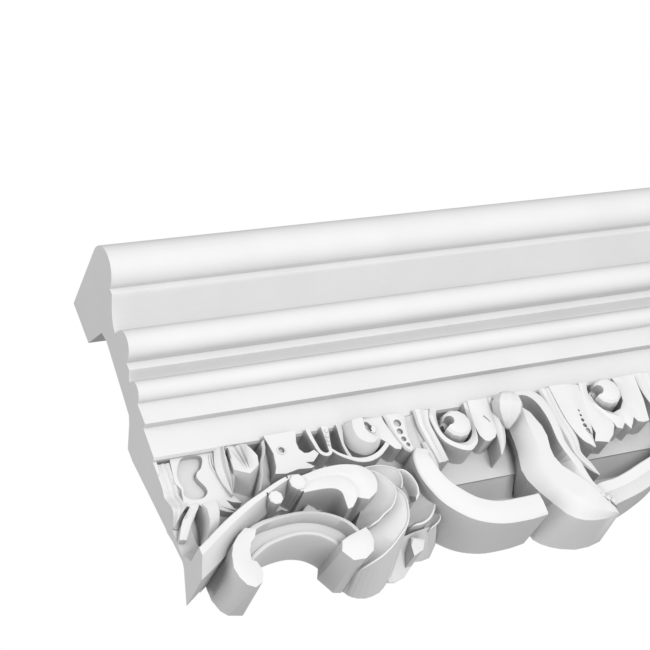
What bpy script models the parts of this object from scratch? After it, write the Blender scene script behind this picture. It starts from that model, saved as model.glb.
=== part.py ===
"""Panel moulding: one cast length with three beads and a hanging border of carving.

The piece is one casting. Its plain moulding is an extruded section, and the
carving below it stands on a flat ground and runs straight back to the wall.
"""
import math

import bmesh
import bpy
import numpy as np
from mathutils import Matrix, Vector
from mathutils.geometry import delaunay_2d_cdt

MM = 0.001

# Sizes of the casting in millimetres: along it, below its top, and out of the wall.
LENGTH = 470.0
TOP_BEAD_RADIUS = 17.0
TOP_BEAD_OUT = 60.0
TOP_FILLET = 4.8
TOP_FILLET_OUT = 62.0
TOP_COVE = 21.5
TOP_COVE_OUT = 44.8
MID_BEAD_RADIUS = 11.0
MID_BEAD_OUT = 48.0
MID_FILLET = 5.9
MID_FILLET_OUT = 45.3
LOW_COVE = 6.3
LOW_COVE_OUT = 39.2
LOW_BEAD_RADIUS = 8.0
LOW_BEAD_OUT = 39.3
UPPER_BAND = 15.8
UPPER_BAND_OUT = 38.8
LOWER_BAND = 22.2
LOWER_BAND_OUT = 34.0
CHAMFER = 1.2
BREAK = 0.3
LET_IN = 2.0
GROUND_DROP = 52.0
GROUND_OUT = 20.3
CARVED_DROP = 111.4
RELIEF = 46.0

# The back: a wall land, a hollow, a second land, a second hollow and a pocket at the left end.
TOP_LAND = 34.0
LAND = 9.6
LAND_BELOW_BEAD = 10.6
UPPER_HOLLOW_DEEP = 28.2
UPPER_HOLLOW_SHALLOW = 20.2
LOWER_HOLLOW_DEEP = 11.8
LOWER_RIM = 3.5
WEB_OUT = 8.0
END_POCKET = 12.0
END_POCKET_RISE = 16.0
END_POCKET_DROP = 54.7
END_POCKET_DEEP = 18.1

# The carving is drawn on a sheet of its own, in small units, and takes its size from the casting:
# how many units the length, the soffit, the carving's drop below it and its relief are drawn as.
SHEET = {"length": 470.0, "soffit": 149.0, "drop": 111.4, "relief": 46.0}

# How closely curves are followed, and how far operands run past a cut face.
CURVE_STEPS = 3
ARC_STEP = 9.0
PAST = 5.0
WALL = -2.0
ROUND_SIDES = 16
MERGE = 0.00002
DRAWN_MERGE = 0.02

# Cross-sections of a leaf or ribbon: share of its half width, depth below its front.
FLAT = ((-1.0, 0.0), (1.0, 0.0))
RIDGE = ((-1.0, 3.2), (0.0, 0.0), (1.0, 3.2))
TROUGH = ((-1.0, 0.0), (-0.4, 2.8), (0.4, 2.8), (1.0, 0.0))
FLUTES = ((-1.0, 2.4), (-0.55, 0.2), (-0.2, 1.9), (0.2, 0.0), (1.0, 2.8))
SWAG = ((-1.0, 0.8), (-0.1, 0.0), (1.0, 2.6))
STRIP = ((-1.0, 2.2), (-0.4, 0.0), (1.0, 10.5))
LIP = ((-1.0, 0.8), (-0.5, 0.0), (-0.38, 8.6), (0.25, 11.4), (0.56, 12.6), (0.64, 11.5), (1.0, 13.6))
NARROW = 8.0
THINNEST = 0.8


def clear_scene():
    """Start from an empty scene."""
    for item in list(bpy.data.objects):
        bpy.data.objects.remove(item, do_unlink=True)


def new_collection(name):
    """A collection of its own for the part, or for what shapes it."""
    group = bpy.data.collections.new(name)
    bpy.context.scene.collection.children.link(group)
    return group


def section_drops():
    """Where each member of the plain moulding starts, down from the top."""
    drops = {"fillet": 2 * TOP_BEAD_RADIUS - BREAK}
    drops["cove"] = drops["fillet"] + TOP_FILLET
    drops["mid_bead"] = drops["cove"] + TOP_COVE
    drops["mid_fillet"] = drops["mid_bead"] + 2 * MID_BEAD_RADIUS
    drops["low_cove"] = drops["mid_fillet"] + MID_FILLET
    drops["low_bead"] = drops["low_cove"] + LOW_COVE
    drops["upper_band"] = drops["low_bead"] + 2 * LOW_BEAD_RADIUS
    drops["lower_band"] = drops["upper_band"] + UPPER_BAND
    drops["soffit"] = drops["lower_band"] + LOWER_BAND + CHAMFER
    drops["foot"] = drops["soffit"] + GROUND_DROP
    return drops


DROPS = section_drops()
ORIGIN_DROP = TOP_LAND / 2
ALONG_UNIT = LENGTH / SHEET["length"]
DROP_UNIT = CARVED_DROP / SHEET["drop"]
OUT_UNIT = RELIEF / SHEET["relief"]
DRAWN_GROUND = (GROUND_OUT - LET_IN) / OUT_UNIT
DRAWN_FRONT = 2 * SHEET["relief"]


def place(along, drop, out):
    """A point given in mm from the left end, below the top and out of the wall."""
    return Vector(((along - LENGTH / 2) * MM, -out * MM, (ORIGIN_DROP - drop) * MM))


def spot(along, drop, out):
    """A point of the carving as drawn on its sheet, set at the casting's own size."""
    below = DROPS["soffit"] + (drop - SHEET["soffit"]) * DROP_UNIT
    return place(along * ALONG_UNIT, below, out * OUT_UNIT)


def bead(top, radius, centre_out, first, last):
    """Points round a bead's nose, from one angle to another."""
    count = int(round((first - last) / ARC_STEP))
    turns = [math.radians(first + (last - first) * k / count) for k in range(count + 1)]
    return [(top + radius - radius * math.sin(t), centre_out + radius * math.cos(t)) for t in turns]


def cove(top, height, upper_out, lower_out, steps):
    """Points down a cove that eases back to its lower edge."""
    shares = [k / steps for k in range(steps + 1)]
    return [(top + height * s, lower_out + (upper_out - lower_out) * (1 - s) ** 2) for s in shares]


def moulding_section():
    """The plain moulding's section as drop and out, with the ground under it."""
    d = DROPS
    points = [(0.0, -PAST)]
    points += bead(0.0, TOP_BEAD_RADIUS, TOP_BEAD_OUT, 90, -72)
    points += [(d["fillet"], TOP_FILLET_OUT), (d["cove"], TOP_FILLET_OUT)]
    points += cove(d["cove"], TOP_COVE, TOP_FILLET_OUT, TOP_COVE_OUT, 5)[1:]
    points += bead(d["mid_bead"], MID_BEAD_RADIUS, MID_BEAD_OUT, 82, -80)
    points += [(d["mid_fillet"] + BREAK, MID_FILLET_OUT), (d["low_cove"], MID_FILLET_OUT)]
    points += cove(d["low_cove"], LOW_COVE, MID_FILLET_OUT, LOW_COVE_OUT, 3)[1:]
    points += bead(d["low_bead"], LOW_BEAD_RADIUS, LOW_BEAD_OUT, 72, -90)
    points += [(d["upper_band"] + BREAK, UPPER_BAND_OUT), (d["lower_band"], UPPER_BAND_OUT)]
    points += [(d["lower_band"] + BREAK, LOWER_BAND_OUT), (d["soffit"] - CHAMFER, LOWER_BAND_OUT - CHAMFER)]
    points += [(d["soffit"], LOWER_BAND_OUT - 2 * CHAMFER), (d["soffit"], GROUND_OUT)]
    points += [(d["foot"], GROUND_OUT), (d["foot"], -PAST)]
    return points


def keep_mesh(bm, name, group):
    """Close and triangulate a bmesh and put it in a group as an object."""
    bmesh.ops.remove_doubles(bm, verts=bm.verts, dist=MERGE)
    bmesh.ops.triangulate(bm, faces=bm.faces)
    bmesh.ops.recalc_face_normals(bm, faces=bm.faces)
    mesh = bpy.data.meshes.new(name)
    bm.to_mesh(mesh)
    bm.free()
    item = bpy.data.objects.new(name, mesh)
    item.hide_render = True
    item.display_type = "WIRE"
    group.objects.link(item)
    return item


def eased(stations, steps=CURVE_STEPS, closed=False):
    """A curve through the stations, with every value of theirs eased alike."""
    rows = [np.array(row, dtype=float) for row in stations]
    if closed:
        rows = [rows[-1]] + rows + rows[:2]
    else:
        rows = [2 * rows[0] - rows[1]] + rows + [2 * rows[-1] - rows[-2]]
    path = []
    for a, b, c, d in zip(rows, rows[1:], rows[2:], rows[3:]):
        for k in range(steps):
            t = k / steps
            path.append(b + 0.5 * t * (c - a + t * (2 * a - 5 * b + 4 * c - d + t * (3 * b - a - 3 * c + d))))
    if not closed:
        path.append(rows[-2])
    return path


def level(outline, out):
    """An outline's points, all at one height."""
    return [(row[0], row[1], out) for row in outline]


def arc(along, drop, radius, out, sides=ROUND_SIDES, start=0.0, turn=360.0):
    """Points round a circle, or along part of one."""
    count = sides if turn == 360.0 else sides + 1
    turns = [math.radians(start + turn * k / sides) for k in range(count)]
    return [(along + radius * math.cos(t), drop + radius * math.sin(t), out) for t in turns]


def patch(name, outline, group, lines=(), lean=(0.0, 0.0), back=WALL):
    """A faceted face that runs straight back: an outline with ridges and hollows inside it.

    Every point has its own height, and the face is triangulated between them.
    """
    points = [tuple(float(value) for value in row) for row in outline]
    count = len(points)
    edges = [(k, (k + 1) % count) for k in range(count)]
    for line in lines:
        start = len(points)
        points += [tuple(float(value) for value in row) for row in line]
        edges += [(start + k, start + k + 1) for k in range(len(line) - 1)]
    flat = [Vector(row[:2]) for row in points]
    verts, _, faces, sources, _, _ = delaunay_2d_cdt(flat, edges, [list(range(count))], 1, DRAWN_MERGE)
    bm = bmesh.new()
    tops, feet = [], []
    for vert, source in zip(verts, sources):
        near = sorted(points, key=lambda row: (row[0] - vert.x) ** 2 + (row[1] - vert.y) ** 2)
        out = max(points[k][2] for k in source) if source else (near[0][2] + near[1][2]) / 2
        tops.append(bm.verts.new(spot(vert.x, vert.y, out)))
        feet.append(bm.verts.new(spot(vert.x + lean[0], vert.y + lean[1], back)))
    sides = set()
    for face in faces:
        bm.faces.new([tops[k] for k in face])
        bm.faces.new([feet[k] for k in reversed(face)])
        sides.update((one, face[(k + 1) % len(face)]) for k, one in enumerate(face))
    for one, two in sorted(sides):
        if (two, one) not in sides:
            bm.faces.new((tops[two], tops[one], feet[one], feet[two]))
    loose = [vert for vert in bm.verts if not vert.link_faces]
    bmesh.ops.delete(bm, geom=loose, context="VERTS")
    return keep_mesh(bm, name, group)


def sink(name, outline, floor, group):
    """A cutter for a sunk place with straight walls and a flat floor."""
    return patch(name, level(outline, DRAWN_FRONT), group, back=floor)


def ribbon(name, stations, group, section=RIDGE, steps=CURVE_STEPS):
    """A leaf or ribbon lofted along its stations of along, drop, width and out."""
    path = eased(stations, steps)
    last = len(path) - 1
    bm = bmesh.new()
    rings = []
    for i, (along, drop, width, out) in enumerate(path):
        run = path[min(i + 1, last)][:2] - path[max(i - 1, 0)][:2]
        run = run / np.linalg.norm(run)
        half = max(width, THINNEST) / 2
        shallow = min(1.0, width / NARROW)
        sides = [(along - run[1] * half * share, drop + run[0] * half * share) for share, _ in section]
        ring = [bm.verts.new(spot(x, y, out - depth * shallow)) for (x, y), (_, depth) in zip(sides, section)]
        ring += [bm.verts.new(spot(x, y, WALL)) for x, y in (sides[-1], sides[0])]
        rings.append(ring)
    for one, two in zip(rings, rings[1:]):
        for k in range(len(one)):
            n = (k + 1) % len(one)
            bm.faces.new((one[k], one[n], two[n], two[k]))
    bm.faces.new(rings[0])
    bm.faces.new(rings[-1])
    return keep_mesh(bm, name, group)


def petal(name, edge, root, group, hollow=1.6):
    """A petal with a crisp edge and a face that hollows in to its root."""
    rim, foot = eased(edge, 1), eased(root, 1)
    middle = []
    for k in range(1, len(rim) - 1, 2):
        other = foot[round(k * (len(foot) - 1) / (len(rim) - 1))]
        point = rim[k] + (other - rim[k]) * 0.45
        middle.append((point[0], point[1], point[2] - hollow))
    return patch(name, list(rim) + list(reversed(foot)), group, [middle])


def dome(name, along, drop, radius, front, fall, group):
    """A round boss whose face swells to its middle."""
    rings = []
    for share, down in ((0.8, 0.2), (0.45, 0.0)):
        ring = arc(along, drop, radius * share, front - fall * down)
        rings.append(ring + ring[:1])
    return patch(name, arc(along, drop, radius, front - fall), group, rings)


def bud(name, centre, tip, wide, narrow, group):
    """A bud with a wide round end and a narrow one, lying along a line."""
    start, end = spot(*centre), spot(*tip)
    axis = end - start
    bm = bmesh.new()
    bmesh.ops.create_uvsphere(bm, u_segments=14, v_segments=10, radius=1.0)
    turn = axis.to_track_quat("Z", "Y").to_matrix().to_4x4()
    for vert in bm.verts:
        share = max(vert.co.z, 0.0)
        girth = (wide + (narrow - wide) * share) * OUT_UNIT * MM
        rise = share * axis.length if share > 0 else vert.co.z * wide * OUT_UNIT * MM
        vert.co = Vector((vert.co.x * girth, vert.co.y * girth, rise))
    bmesh.ops.transform(bm, matrix=Matrix.Translation(start) @ turn, verts=bm.verts)
    return keep_mesh(bm, name, group)


def left_cartouche(relief, cuts):
    """The pierced plate, its fluted strip and its leaf tips at the left end."""
    ribbon("end_strip", [(4, 148.3, 18, 28.7), (4, 168, 17, 28.7), (4, 174, 17, 26.7), (4, 181, 16, 29.6),
                         (3, 187, 14, 32.2), (2.5, 194, 13, 21)], relief, TROUGH)
    plate = [(12, 148.3), (47, 148.3), (42, 155), (41.4, 162), (41.6, 170.5), (42.4, 178), (50, 188.5),
             (39.5, 185), (44.4, 193), (33.6, 188), (46, 194.4), (30, 189.4), (22, 189), (9, 187),
             (11, 177.5), (12, 172), (9.3, 166.5), (11.3, 153)]
    patch("end_plate", level(plate, 29.2), relief)
    patch("end_finger", [(9.5, 184, 28.6), (18.6, 184, 30), (17.6, 189.5, 30.4), (14, 195, 29),
                         (7.2, 206, 25.4), (1, 205, 23.6), (5.4, 195, 26.6)], relief,
          [[(15.2, 190, 30.8), (9.6, 197, 28.4)]])
    patch("end_blade", [(19.6, 184, 26), (32, 184, 30), (31, 193, 31), (28, 201, 30.6), (22.6, 208, 29.6),
                        (14.4, 214.6, 27), (13.2, 213.4, 24), (16.4, 205, 22), (18.4, 196, 22.4)], relief,
          [[(21.4, 185, 29.6), (22, 192, 31.4), (20.4, 201, 31), (15.4, 211.6, 28)]])
    patch("end_ground", level([(-PAST, 196), (-PAST, 219), (14, 214), (37, 203), (44, 196)], 21.2), relief)
    kidney = [(20.7, 149.6), (13, 160.5), (13.6, 171.5), (12.4, 176.2), (15, 179.6), (19.4, 181),
              (24.6, 180.6), (28.8, 177.4), (25.4, 165), (30.8, 159), (33.8, 153.2), (27, 149.2)]
    sink("kidney", eased(kidney, closed=True), 22.8, cuts)


def left_leaves(relief, cuts):
    """The leaves, bud and pierced plate from the cartouche to the first curl."""
    ribbon("spear", [(48.4, 148.3, 10, 34), (45.8, 162, 13, 34.3), (44.6, 172, 10, 34.2),
                     (43.2, 184, 0.8, 33)], relief, FLUTES)
    crests = [[(53.2, 151.4, 35), (57.4, 171, 38.2)], [(55.6, 148.9, 39.2), (57.8, 170, 38.6)],
              [(58.4, 151.4, 35.4), (58.4, 170, 38.2)], [(61.4, 148.9, 39.2), (59.4, 170.4, 38.4)]]
    patch("tulip", level([(49.5, 148.3), (49.5, 155.7), (48.5, 164), (48.3, 168.5), (58, 173.7), (66.6, 168),
                          (68.3, 161.5), (65.2, 154.7), (65.2, 148.3)], 37.4), relief, crests,
          (3.2, 8.8), DRAWN_GROUND)
    patch("blade", [(73, 148.3, 34), (77, 148.3, 36), (76.9, 153, 36.4), (69.6, 169, 36.6), (69, 176, 36.2),
                    (62.2, 187, 34), (65, 172, 33), (67.6, 163, 32.6), (68.4, 155, 32.6)], relief,
          [[(75.4, 148.8, 37.4), (68.4, 168.6, 37.6), (67.8, 175.6, 37.2), (62.6, 185, 35)]])
    plate = [(77.4, 148.3), (101.4, 148.3), (98.4, 157.4), (98.3, 162.4), (101, 166), (104.2, 166.4),
             (109, 164.8), (111.4, 168), (107.6, 171.4), (99.4, 172.8), (105, 176.6), (92.4, 176.9),
             (82.8, 178.7), (75, 177.4), (77.4, 172.8), (79.4, 162.4)]
    patch("fan_plate", level(plate, 38.4), relief)
    sink("plate_hole", arc(85.5, 161.4, 2.4, 0, 8), 34, cuts)
    ribbon("loop", [(110.9, 148.3, 3.2, 38), (111.8, 160.5, 2.6, 38), (113, 166.6, 2.6, 38),
                    (116.6, 169.6, 2.6, 38), (120.4, 168.4, 2.4, 38), (121.3, 164, 2.6, 38),
                    (123.6, 148.3, 5, 38)], relief, FLAT)
    ribbon("stem", [(135.6, 148.3, 5, 37), (132.7, 160.7, 2.8, 37.6), (132.5, 166.4, 2.8, 37.6),
                    (135, 177, 2.8, 37.4)], relief, FLAT)
    ribbon("rim", [(121, 165.4, 2, 37.8), (124.9, 169.9, 2.2, 37.8), (132.8, 175.2, 2.8, 37.8),
                   (139, 177.8, 3.4, 37.8), (146.4, 178.3, 3.8, 37.8), (154, 176.2, 3.6, 37.8),
                   (165, 168.6, 3.4, 38)], relief, FLAT)


def first_curl(relief, cuts):
    """The curl whose band winds out from its eye into the shield beside it."""
    wall = [(138, 148.3, 33), (136.4, 160.7, 33), (140.6, 169.4, 33.2), (150, 173.2, 34), (158, 169.5, 36),
            (161.4, 164, 38.4)]
    band = [(143.6, 148.8, 41.6), (141.2, 157.5, 42.4), (145, 166.3, 42.2), (153.5, 168.2, 41.2),
            (160.8, 163.6, 38.8)]
    inner = [(151.6, 148.8, 42.2), (150.5, 159, 42.2), (156.6, 163, 40.4), (160.8, 162.8, 38.9)]
    sunk = [(153.4, 149, 40.2), (152.2, 157.6, 39.8), (157, 161, 39.4)]
    patch("first_curl", eased(wall) + [(161.4, 148.3, 38.5)], relief, [eased(band), eased(inner), sunk])
    sink("first_eye", arc(153.9, 155, 2.9, 0, 8), 36, cuts)
    patch("shield", [(160, 148.3, 38.4), (168.4, 148.3, 38.3), (170, 159, 38.2), (171.6, 166.5, 38.2),
                     (174, 172.6, 37.8), (172.8, 175.2, 37.4), (168.6, 174.2, 37.6), (164.2, 168.6, 38.2),
                     (160, 165, 38.4)], relief, [[(164.6, 149, 38.9), (166, 160, 38.9), (169.4, 172, 38.2)]])


def round_curl(name, along, drop, radius, front, eye, mouth, relief, cuts):
    """A ball-like curl with a deep eye, given by its place and radius, that opens to the left."""
    dome(name, along, drop, radius, front, 6.5, relief)
    ex, ey, hole = eye
    floor = front - 10.5
    sink(name + "_eye", arc(ex, ey, hole, 0, 8), floor, cuts)
    sink(name + "_mouth", [(ex, ey - hole / 2), (ex - 1, ey + hole), (mouth, drop + hole), (mouth, ey)],
         floor - 1, cuts)


def bowl(name, along, drop, inner, outer, crest, out, start, turn, relief):
    """A crescent leaf that cups a curl, its crest standing above both edges."""
    rim = arc(along, drop, outer, out, start=start, turn=turn)
    lip = arc(along, drop, inner, out, start=start + turn, turn=-turn)
    middle = arc(along, drop, (inner + outer) / 2, out + crest, start=start + turn / 16, turn=turn * 7 / 8)
    patch(name, rim + lip, relief, [middle])


def middle_leaves(relief, cuts):
    """The leaves and curl between the first curl and the great ribbon."""
    ribbon("bead_leaf", [(178.8, 148.3, 16.5, 38.6), (177.6, 160.5, 13, 38.6), (178, 169, 9.8, 38.6),
                         (180, 175, 7, 38), (184, 180, 1.2, 37)], relief,
           ((-1.0, 1.6), (0.0, 0.0), (1.0, 1.8)))
    for along, drop, radius in ((178, 155.6, 2.8), (177, 162.2, 2.4), (177.3, 168.4, 2.0)):
        sink("leaf_hole", arc(along, drop, radius, 0, 8), 35.6, cuts)
    ribbon("grey_leaf", [(190.5, 148.3, 12, 35), (189, 161, 12.6, 35), (188.5, 170, 12.4, 35),
                         (190, 178, 9, 34.6)], relief, TROUGH)
    ribbon("long_leaf", [(201, 148.3, 12.5, 38.8), (198.4, 159, 10.2, 38.8), (198.6, 168, 10, 38.8),
                         (199.4, 177, 10, 38.4), (200.6, 190, 9.6, 37.4)], relief)
    ribbon("long_tip", [(194.8, 172, 6, 36.4), (194.3, 186, 6, 36.6), (193, 195.4, 4.4, 36)], relief)
    edge = [(207.4, 148.3, 38.6), (203.4, 162.6, 39.4), (206.4, 176, 39.6), (217.4, 184.6, 39),
            (224.2, 186, 38.6), (229, 183.4, 38.8), (234, 175.6, 39.2), (236.4, 158, 39.4),
            (238.4, 148.3, 39)]
    inner = [(235.6, 148.3, 38), (232.8, 168.6, 38.2), (222.8, 179.2, 38.4), (214.6, 177.6, 38.6),
             (208, 165, 38.6), (209.4, 156, 38.4), (213, 148.3, 38)]
    crest = [(206.4, 152, 40), (206.4, 170, 40.8), (217.6, 181.2, 40.2), (224, 182.4, 39.8),
             (230.6, 178.8, 40), (234.2, 168, 40), (236.2, 154, 40)]
    patch("rosette", eased(edge, 1) + eased(inner), relief, [crest])
    round_curl("second_curl", 220.8, 165.2, 11.6, 44.4, (215.6, 161.8, 3.7), 206, relief, cuts)
    patch("split_leaf", [(238, 148.3, 40), (235.2, 168, 39), (236, 176, 38.6), (238.8, 180.4, 38.2),
                         (242, 181.4, 38), (247.4, 179.4, 38.4), (251.4, 174.6, 39), (251.6, 166, 39.6),
                         (254, 148.3, 40.4)], relief,
          [[(242.4, 149, 41.2), (241, 162, 41), (242.6, 179, 38.8)],
           [(248.6, 149, 40.8), (247, 162, 41.2), (250, 175, 39.4)]])
    ribbon("hook", [(256.6, 148.3, 8, 40.6), (255, 165, 10, 40.6), (253.6, 176, 8, 40.2),
                    (250.6, 185, 5, 39.6), (246, 193.6, 0.8, 38.6)], relief, ((-1.0, 2.6), (-0.2, 0.0),
                    (1.0, 1.8)))


def right_leaves(relief, cuts):
    """The leaves and curls to the right of the great ribbon, and those that end the length."""
    ribbon("finger", [(305, 148.3, 10, 40.2), (305, 172, 10.6, 40.2), (307, 190, 11, 40), (306.6, 203, 8, 39),
                      (312, 214, 6, 38), (316.4, 222, 0.9, 36.6)], relief)
    ribbon("bead_spear", [(322, 148.3, 26, 40.8), (319.5, 171, 20, 40.8), (320, 183, 17, 40.4),
                          (320.8, 192, 12, 39.8), (322.4, 199, 5, 39), (324, 203.4, 0.9, 37.6)], relief,
           ((-1.0, 1.8), (0.0, 0.0), (1.0, 1.4)))
    for along, drop, radius in ((322.2, 179, 1.5), (322, 183.5, 1.8), (323, 187.6, 2.1)):
        sink("spear_hole", arc(along, drop, radius, 0, 8), 36.6, cuts)
    patch("wide_leaf", [(335, 148.3, 39.6), (342, 148.3, 39.6), (337.6, 162.5, 39.4), (339.6, 170, 39.2),
                        (347.4, 182, 38.4), (347.8, 186.6, 38.2), (343.4, 193.4, 37.6), (337, 198.4, 37),
                        (325.6, 196, 37.6), (329, 190, 38.6), (328, 180, 38.8), (328.6, 171, 38.8),
                        (332, 160, 39)], relief,
          [[(337, 149, 40.6), (333, 172, 40.4), (336, 185, 39.4), (336.4, 197, 37.6)]])
    round_curl("third_curl", 353.4, 160.2, 11.8, 45, (345.4, 158.6, 4.2), 336, relief, cuts)
    patch("lobed_leaf", [(337.6, 160, 38.6), (338.2, 168, 39), (342, 176.4, 39), (349.4, 188.6, 38),
                         (353.8, 190.2, 37.6), (357.4, 186.2, 38.4), (361.2, 191.4, 37.4), (367, 183, 38.8),
                         (369.6, 186.6, 38), (379.6, 187.4, 37.6), (383.6, 170, 38.4), (386, 148.3, 38.8),
                         (366, 148.3, 38.6), (367.6, 158, 38.4), (365.6, 168, 38.4), (360, 174.4, 38.4),
                         (352, 176.6, 38.4), (344.6, 172, 38.4), (340.8, 158, 38.2)], relief,
          [[(340, 168, 40), (346.4, 177.4, 40.4), (353.4, 182, 40.4), (353.8, 189, 38.4)],
           [(363, 176, 40.2), (361.4, 190, 38.2)], [(373, 150, 40.4), (372, 168, 40.4), (373.6, 187, 38.4)]])
    ribbon("end_bead_leaf", [(396, 148.3, 17, 38.6), (394, 162, 14, 38.6), (395, 174, 10, 38.2),
                             (399, 185, 1, 37)], relief)
    ribbon("end_long_leaf", [(413, 148.3, 12, 38.2), (410, 163, 11, 38.2), (411, 178, 9, 37.8),
                             (414, 192, 1, 37)], relief)
    bowl("end_bowl", 436, 165.6, 13.4, 18.6, 1.6, 38, -20, 220, relief)
    round_curl("end_curl", 437, 165, 11.4, 43.6, (431.4, 163, 3.8), 424, relief, cuts)
    ribbon("last_leaf", [(464, 148.3, 16, 38), (461, 164, 14, 38), (463, 178, 10, 37.6),
                         (468, 192, 1, 36.6)], relief, FLUTES)


def scroll(relief):
    """The strip leaf, the C-scroll with its lip, foot and knob, and the two pegs."""
    ribbon("strip_leaf", [(-9, 235.5, 15, 47.2), (7.5, 226, 15.5, 47.8), (27, 213.5, 15, 46.2),
                          (45.6, 202.5, 12, 45.2), (58, 195, 8, 44.2), (70, 187.4, 4, 43.4),
                          (83, 182, 1.6, 42.6)], relief, STRIP)
    ribbon("scroll", [(33.4, 239, 13, 42), (32.6, 233, 14, 44.6), (35.4, 226.6, 15, 45.8),
                      (43, 221.6, 15.4, 46), (51, 218.4, 14.4, 46), (68, 216, 12.4, 46), (85, 217, 12, 46),
                      (92.6, 219.6, 12.4, 46), (99, 223.6, 13.4, 46), (104, 228.4, 14.6, 46),
                      (107, 235, 15.6, 46)], relief, LIP)
    foot = [(41, 217.6, 45.6), (27.6, 223, 46), (20, 234, 46.3), (21.2, 246.4, 45), (24.4, 251.4, 42.6),
            (29.6, 254.4, 39.6), (34.4, 252.6, 37.6), (38.8, 243.4, 38.4), (36.4, 238, 40.6),
            (33.4, 230.4, 44.4), (35.6, 226.4, 45.4), (40, 222.4, 45.8)]
    patch("scroll_foot", foot, relief, [[(37, 220.6, 46.4), (25.8, 232, 47), (26, 239, 46.8),
                                         (31.6, 250, 42)]])
    knob = [(97.6, 235.4, 43), (101.6, 232.6, 44.4), (113.4, 228.6, 45.8), (117.4, 231, 46.4),
            (120.3, 240, 47), (115.6, 249.3, 46.2), (110, 252, 45.2), (100, 251, 43), (95, 242.8, 42.6)]
    patch("scroll_knob", knob, relief, [[(101, 236, 45), (108, 233.6, 46.8), (114.6, 234, 47.8),
                                         (117.4, 240, 48), (114.6, 246, 47.6), (107.6, 248.6, 46),
                                         (101, 247, 44.8)]])
    for name, along, drop, radius, front in (("near_peg", 64.8, 197.8, 5.1, 46.2),
        ("far_peg", 84.1, 189.7, 6, 46.4)):
        patch(name, arc(along, drop, radius, front, 8, 22.5), relief)
    patch("peg_leaf", [(81, 212, 30), (86, 206, 31.6), (91.4, 203.6, 33), (96, 205.6, 33), (101, 209.4, 32),
                       (107, 214, 31)], relief, [[(91.4, 204, 33.6), (92, 212, 36)]])


def shell(relief):
    """The crest leaf and the overlapping petals that fan out below it."""
    top = [(79, 189, 45), (92, 185.2, 45.8), (102.2, 183.4, 46), (119, 183, 46), (132, 186, 45.6),
           (140, 194.6, 45), (138, 204.4, 45)]
    lobe = [(136.2, 207, 45.2), (128.6, 211.2, 45.4), (121, 208, 45.2), (114.4, 213, 43.6),
            (111, 213.4, 42.8)]
    under = [(112, 206, 45), (109, 199.9, 45.6), (99.3, 197.8, 45.4), (85, 197.8, 45)]
    groove = [(96, 189.6, 45.4), (108.8, 188.8, 45.4), (118.3, 191.2, 45.3), (122.4, 201.4, 45)]
    ridge = [(96, 193.6, 46.6), (106, 193.4, 46.6), (114, 196, 46.4), (117, 208, 45.4)]
    edge = [(128, 189, 46.8), (134.6, 197, 46.6), (126.6, 207.6, 46)]
    patch("crest", eased(top) + lobe + eased(under), relief, [groove, ridge, edge])
    petal("petal_1", [(136, 187.4, 42), (143, 192.4, 44.4), (148.4, 199, 45.4), (151.4, 206, 46),
                      (149, 213.4, 46), (142.6, 218.8, 46), (134, 224.2, 45.6), (119, 229.6, 44)],
          [(128, 190, 38), (134, 200, 38.4), (126, 214, 37), (117, 225, 36)], relief)
    petal("petal_2", [(140, 189.4, 41), (147.4, 194, 42.6), (151.6, 202, 43.6), (155, 210, 44.6),
                      (156.4, 217, 45.2), (155, 224, 45.6), (151.4, 231, 45.8), (145, 238.6, 46),
                      (137, 245, 46), (128.4, 250.4, 45.6), (119.6, 255, 43.6), (111, 255.8, 36),
                      (105.4, 252.6, 22)],
          [(134, 196, 37), (142, 208, 40), (128, 224, 38), (116, 238, 34), (106, 250, 18)], relief, 2.2)
    petal("petal_3", [(138, 184.4, 37), (146.4, 184.4, 39.4), (154, 186.4, 41), (160.4, 189.6, 41.6),
                      (163.4, 196, 41.6), (160, 212, 40.8), (160.8, 221, 40.4), (158, 230, 39.4),
                      (151.4, 239, 37), (142.6, 246, 34), (131, 252.4, 30.6)],
          [(134, 188, 34), (146, 196, 34), (152, 206, 33), (144, 232, 30), (128, 244, 27)], relief)
    petal("petal_4", [(156, 187.6, 34), (164, 189.4, 37), (169.6, 192.6, 38.6), (172.8, 199.4, 40.2),
                      (171.4, 206.6, 40.2), (167.4, 214.6, 39.8), (166, 223.4, 38.6), (162, 232, 35.6),
                      (156, 239.4, 32), (149, 245, 29.6)],
          [(152, 192, 30), (160, 202, 30), (154, 226, 28), (146, 238, 26)], relief)
    petal("petal_5", [(162, 196.4, 28), (170, 198.6, 31.6), (176, 202.6, 34.6), (180.2, 212, 37),
                      (178, 223, 36.4), (173, 229, 35.2), (165, 234.4, 33.4), (153, 237.6, 30)],
          [(160, 204, 24), (164, 214, 24), (152, 230, 22)], relief)
    petal("petal_6", [(168, 204, 22.4), (178, 208.4, 25.4), (184, 215, 28), (185.4, 223, 29),
                      (182, 230.4, 28.2), (175, 236.6, 27), (166, 241, 26), (156, 245, 24.6)],
          [(166, 214, 18), (170, 224, 18), (154, 236, 18)], relief)
    patch("petal_block", level([(150, 237), (160, 235.4), (162.4, 242), (158, 248.6),
                                (150.6, 250)], 27), relief)
    patch("shell_foot", level([(107, 254), (112, 258), (121.5, 260.4), (133, 258), (142, 253.5), (148, 253),
                               (156.5, 250.4), (165, 244.8), (174, 240), (187, 233), (186, 224), (176, 208),
                               (160, 196), (140, 200), (118, 225), (106, 245)], 23.4), relief)


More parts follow.
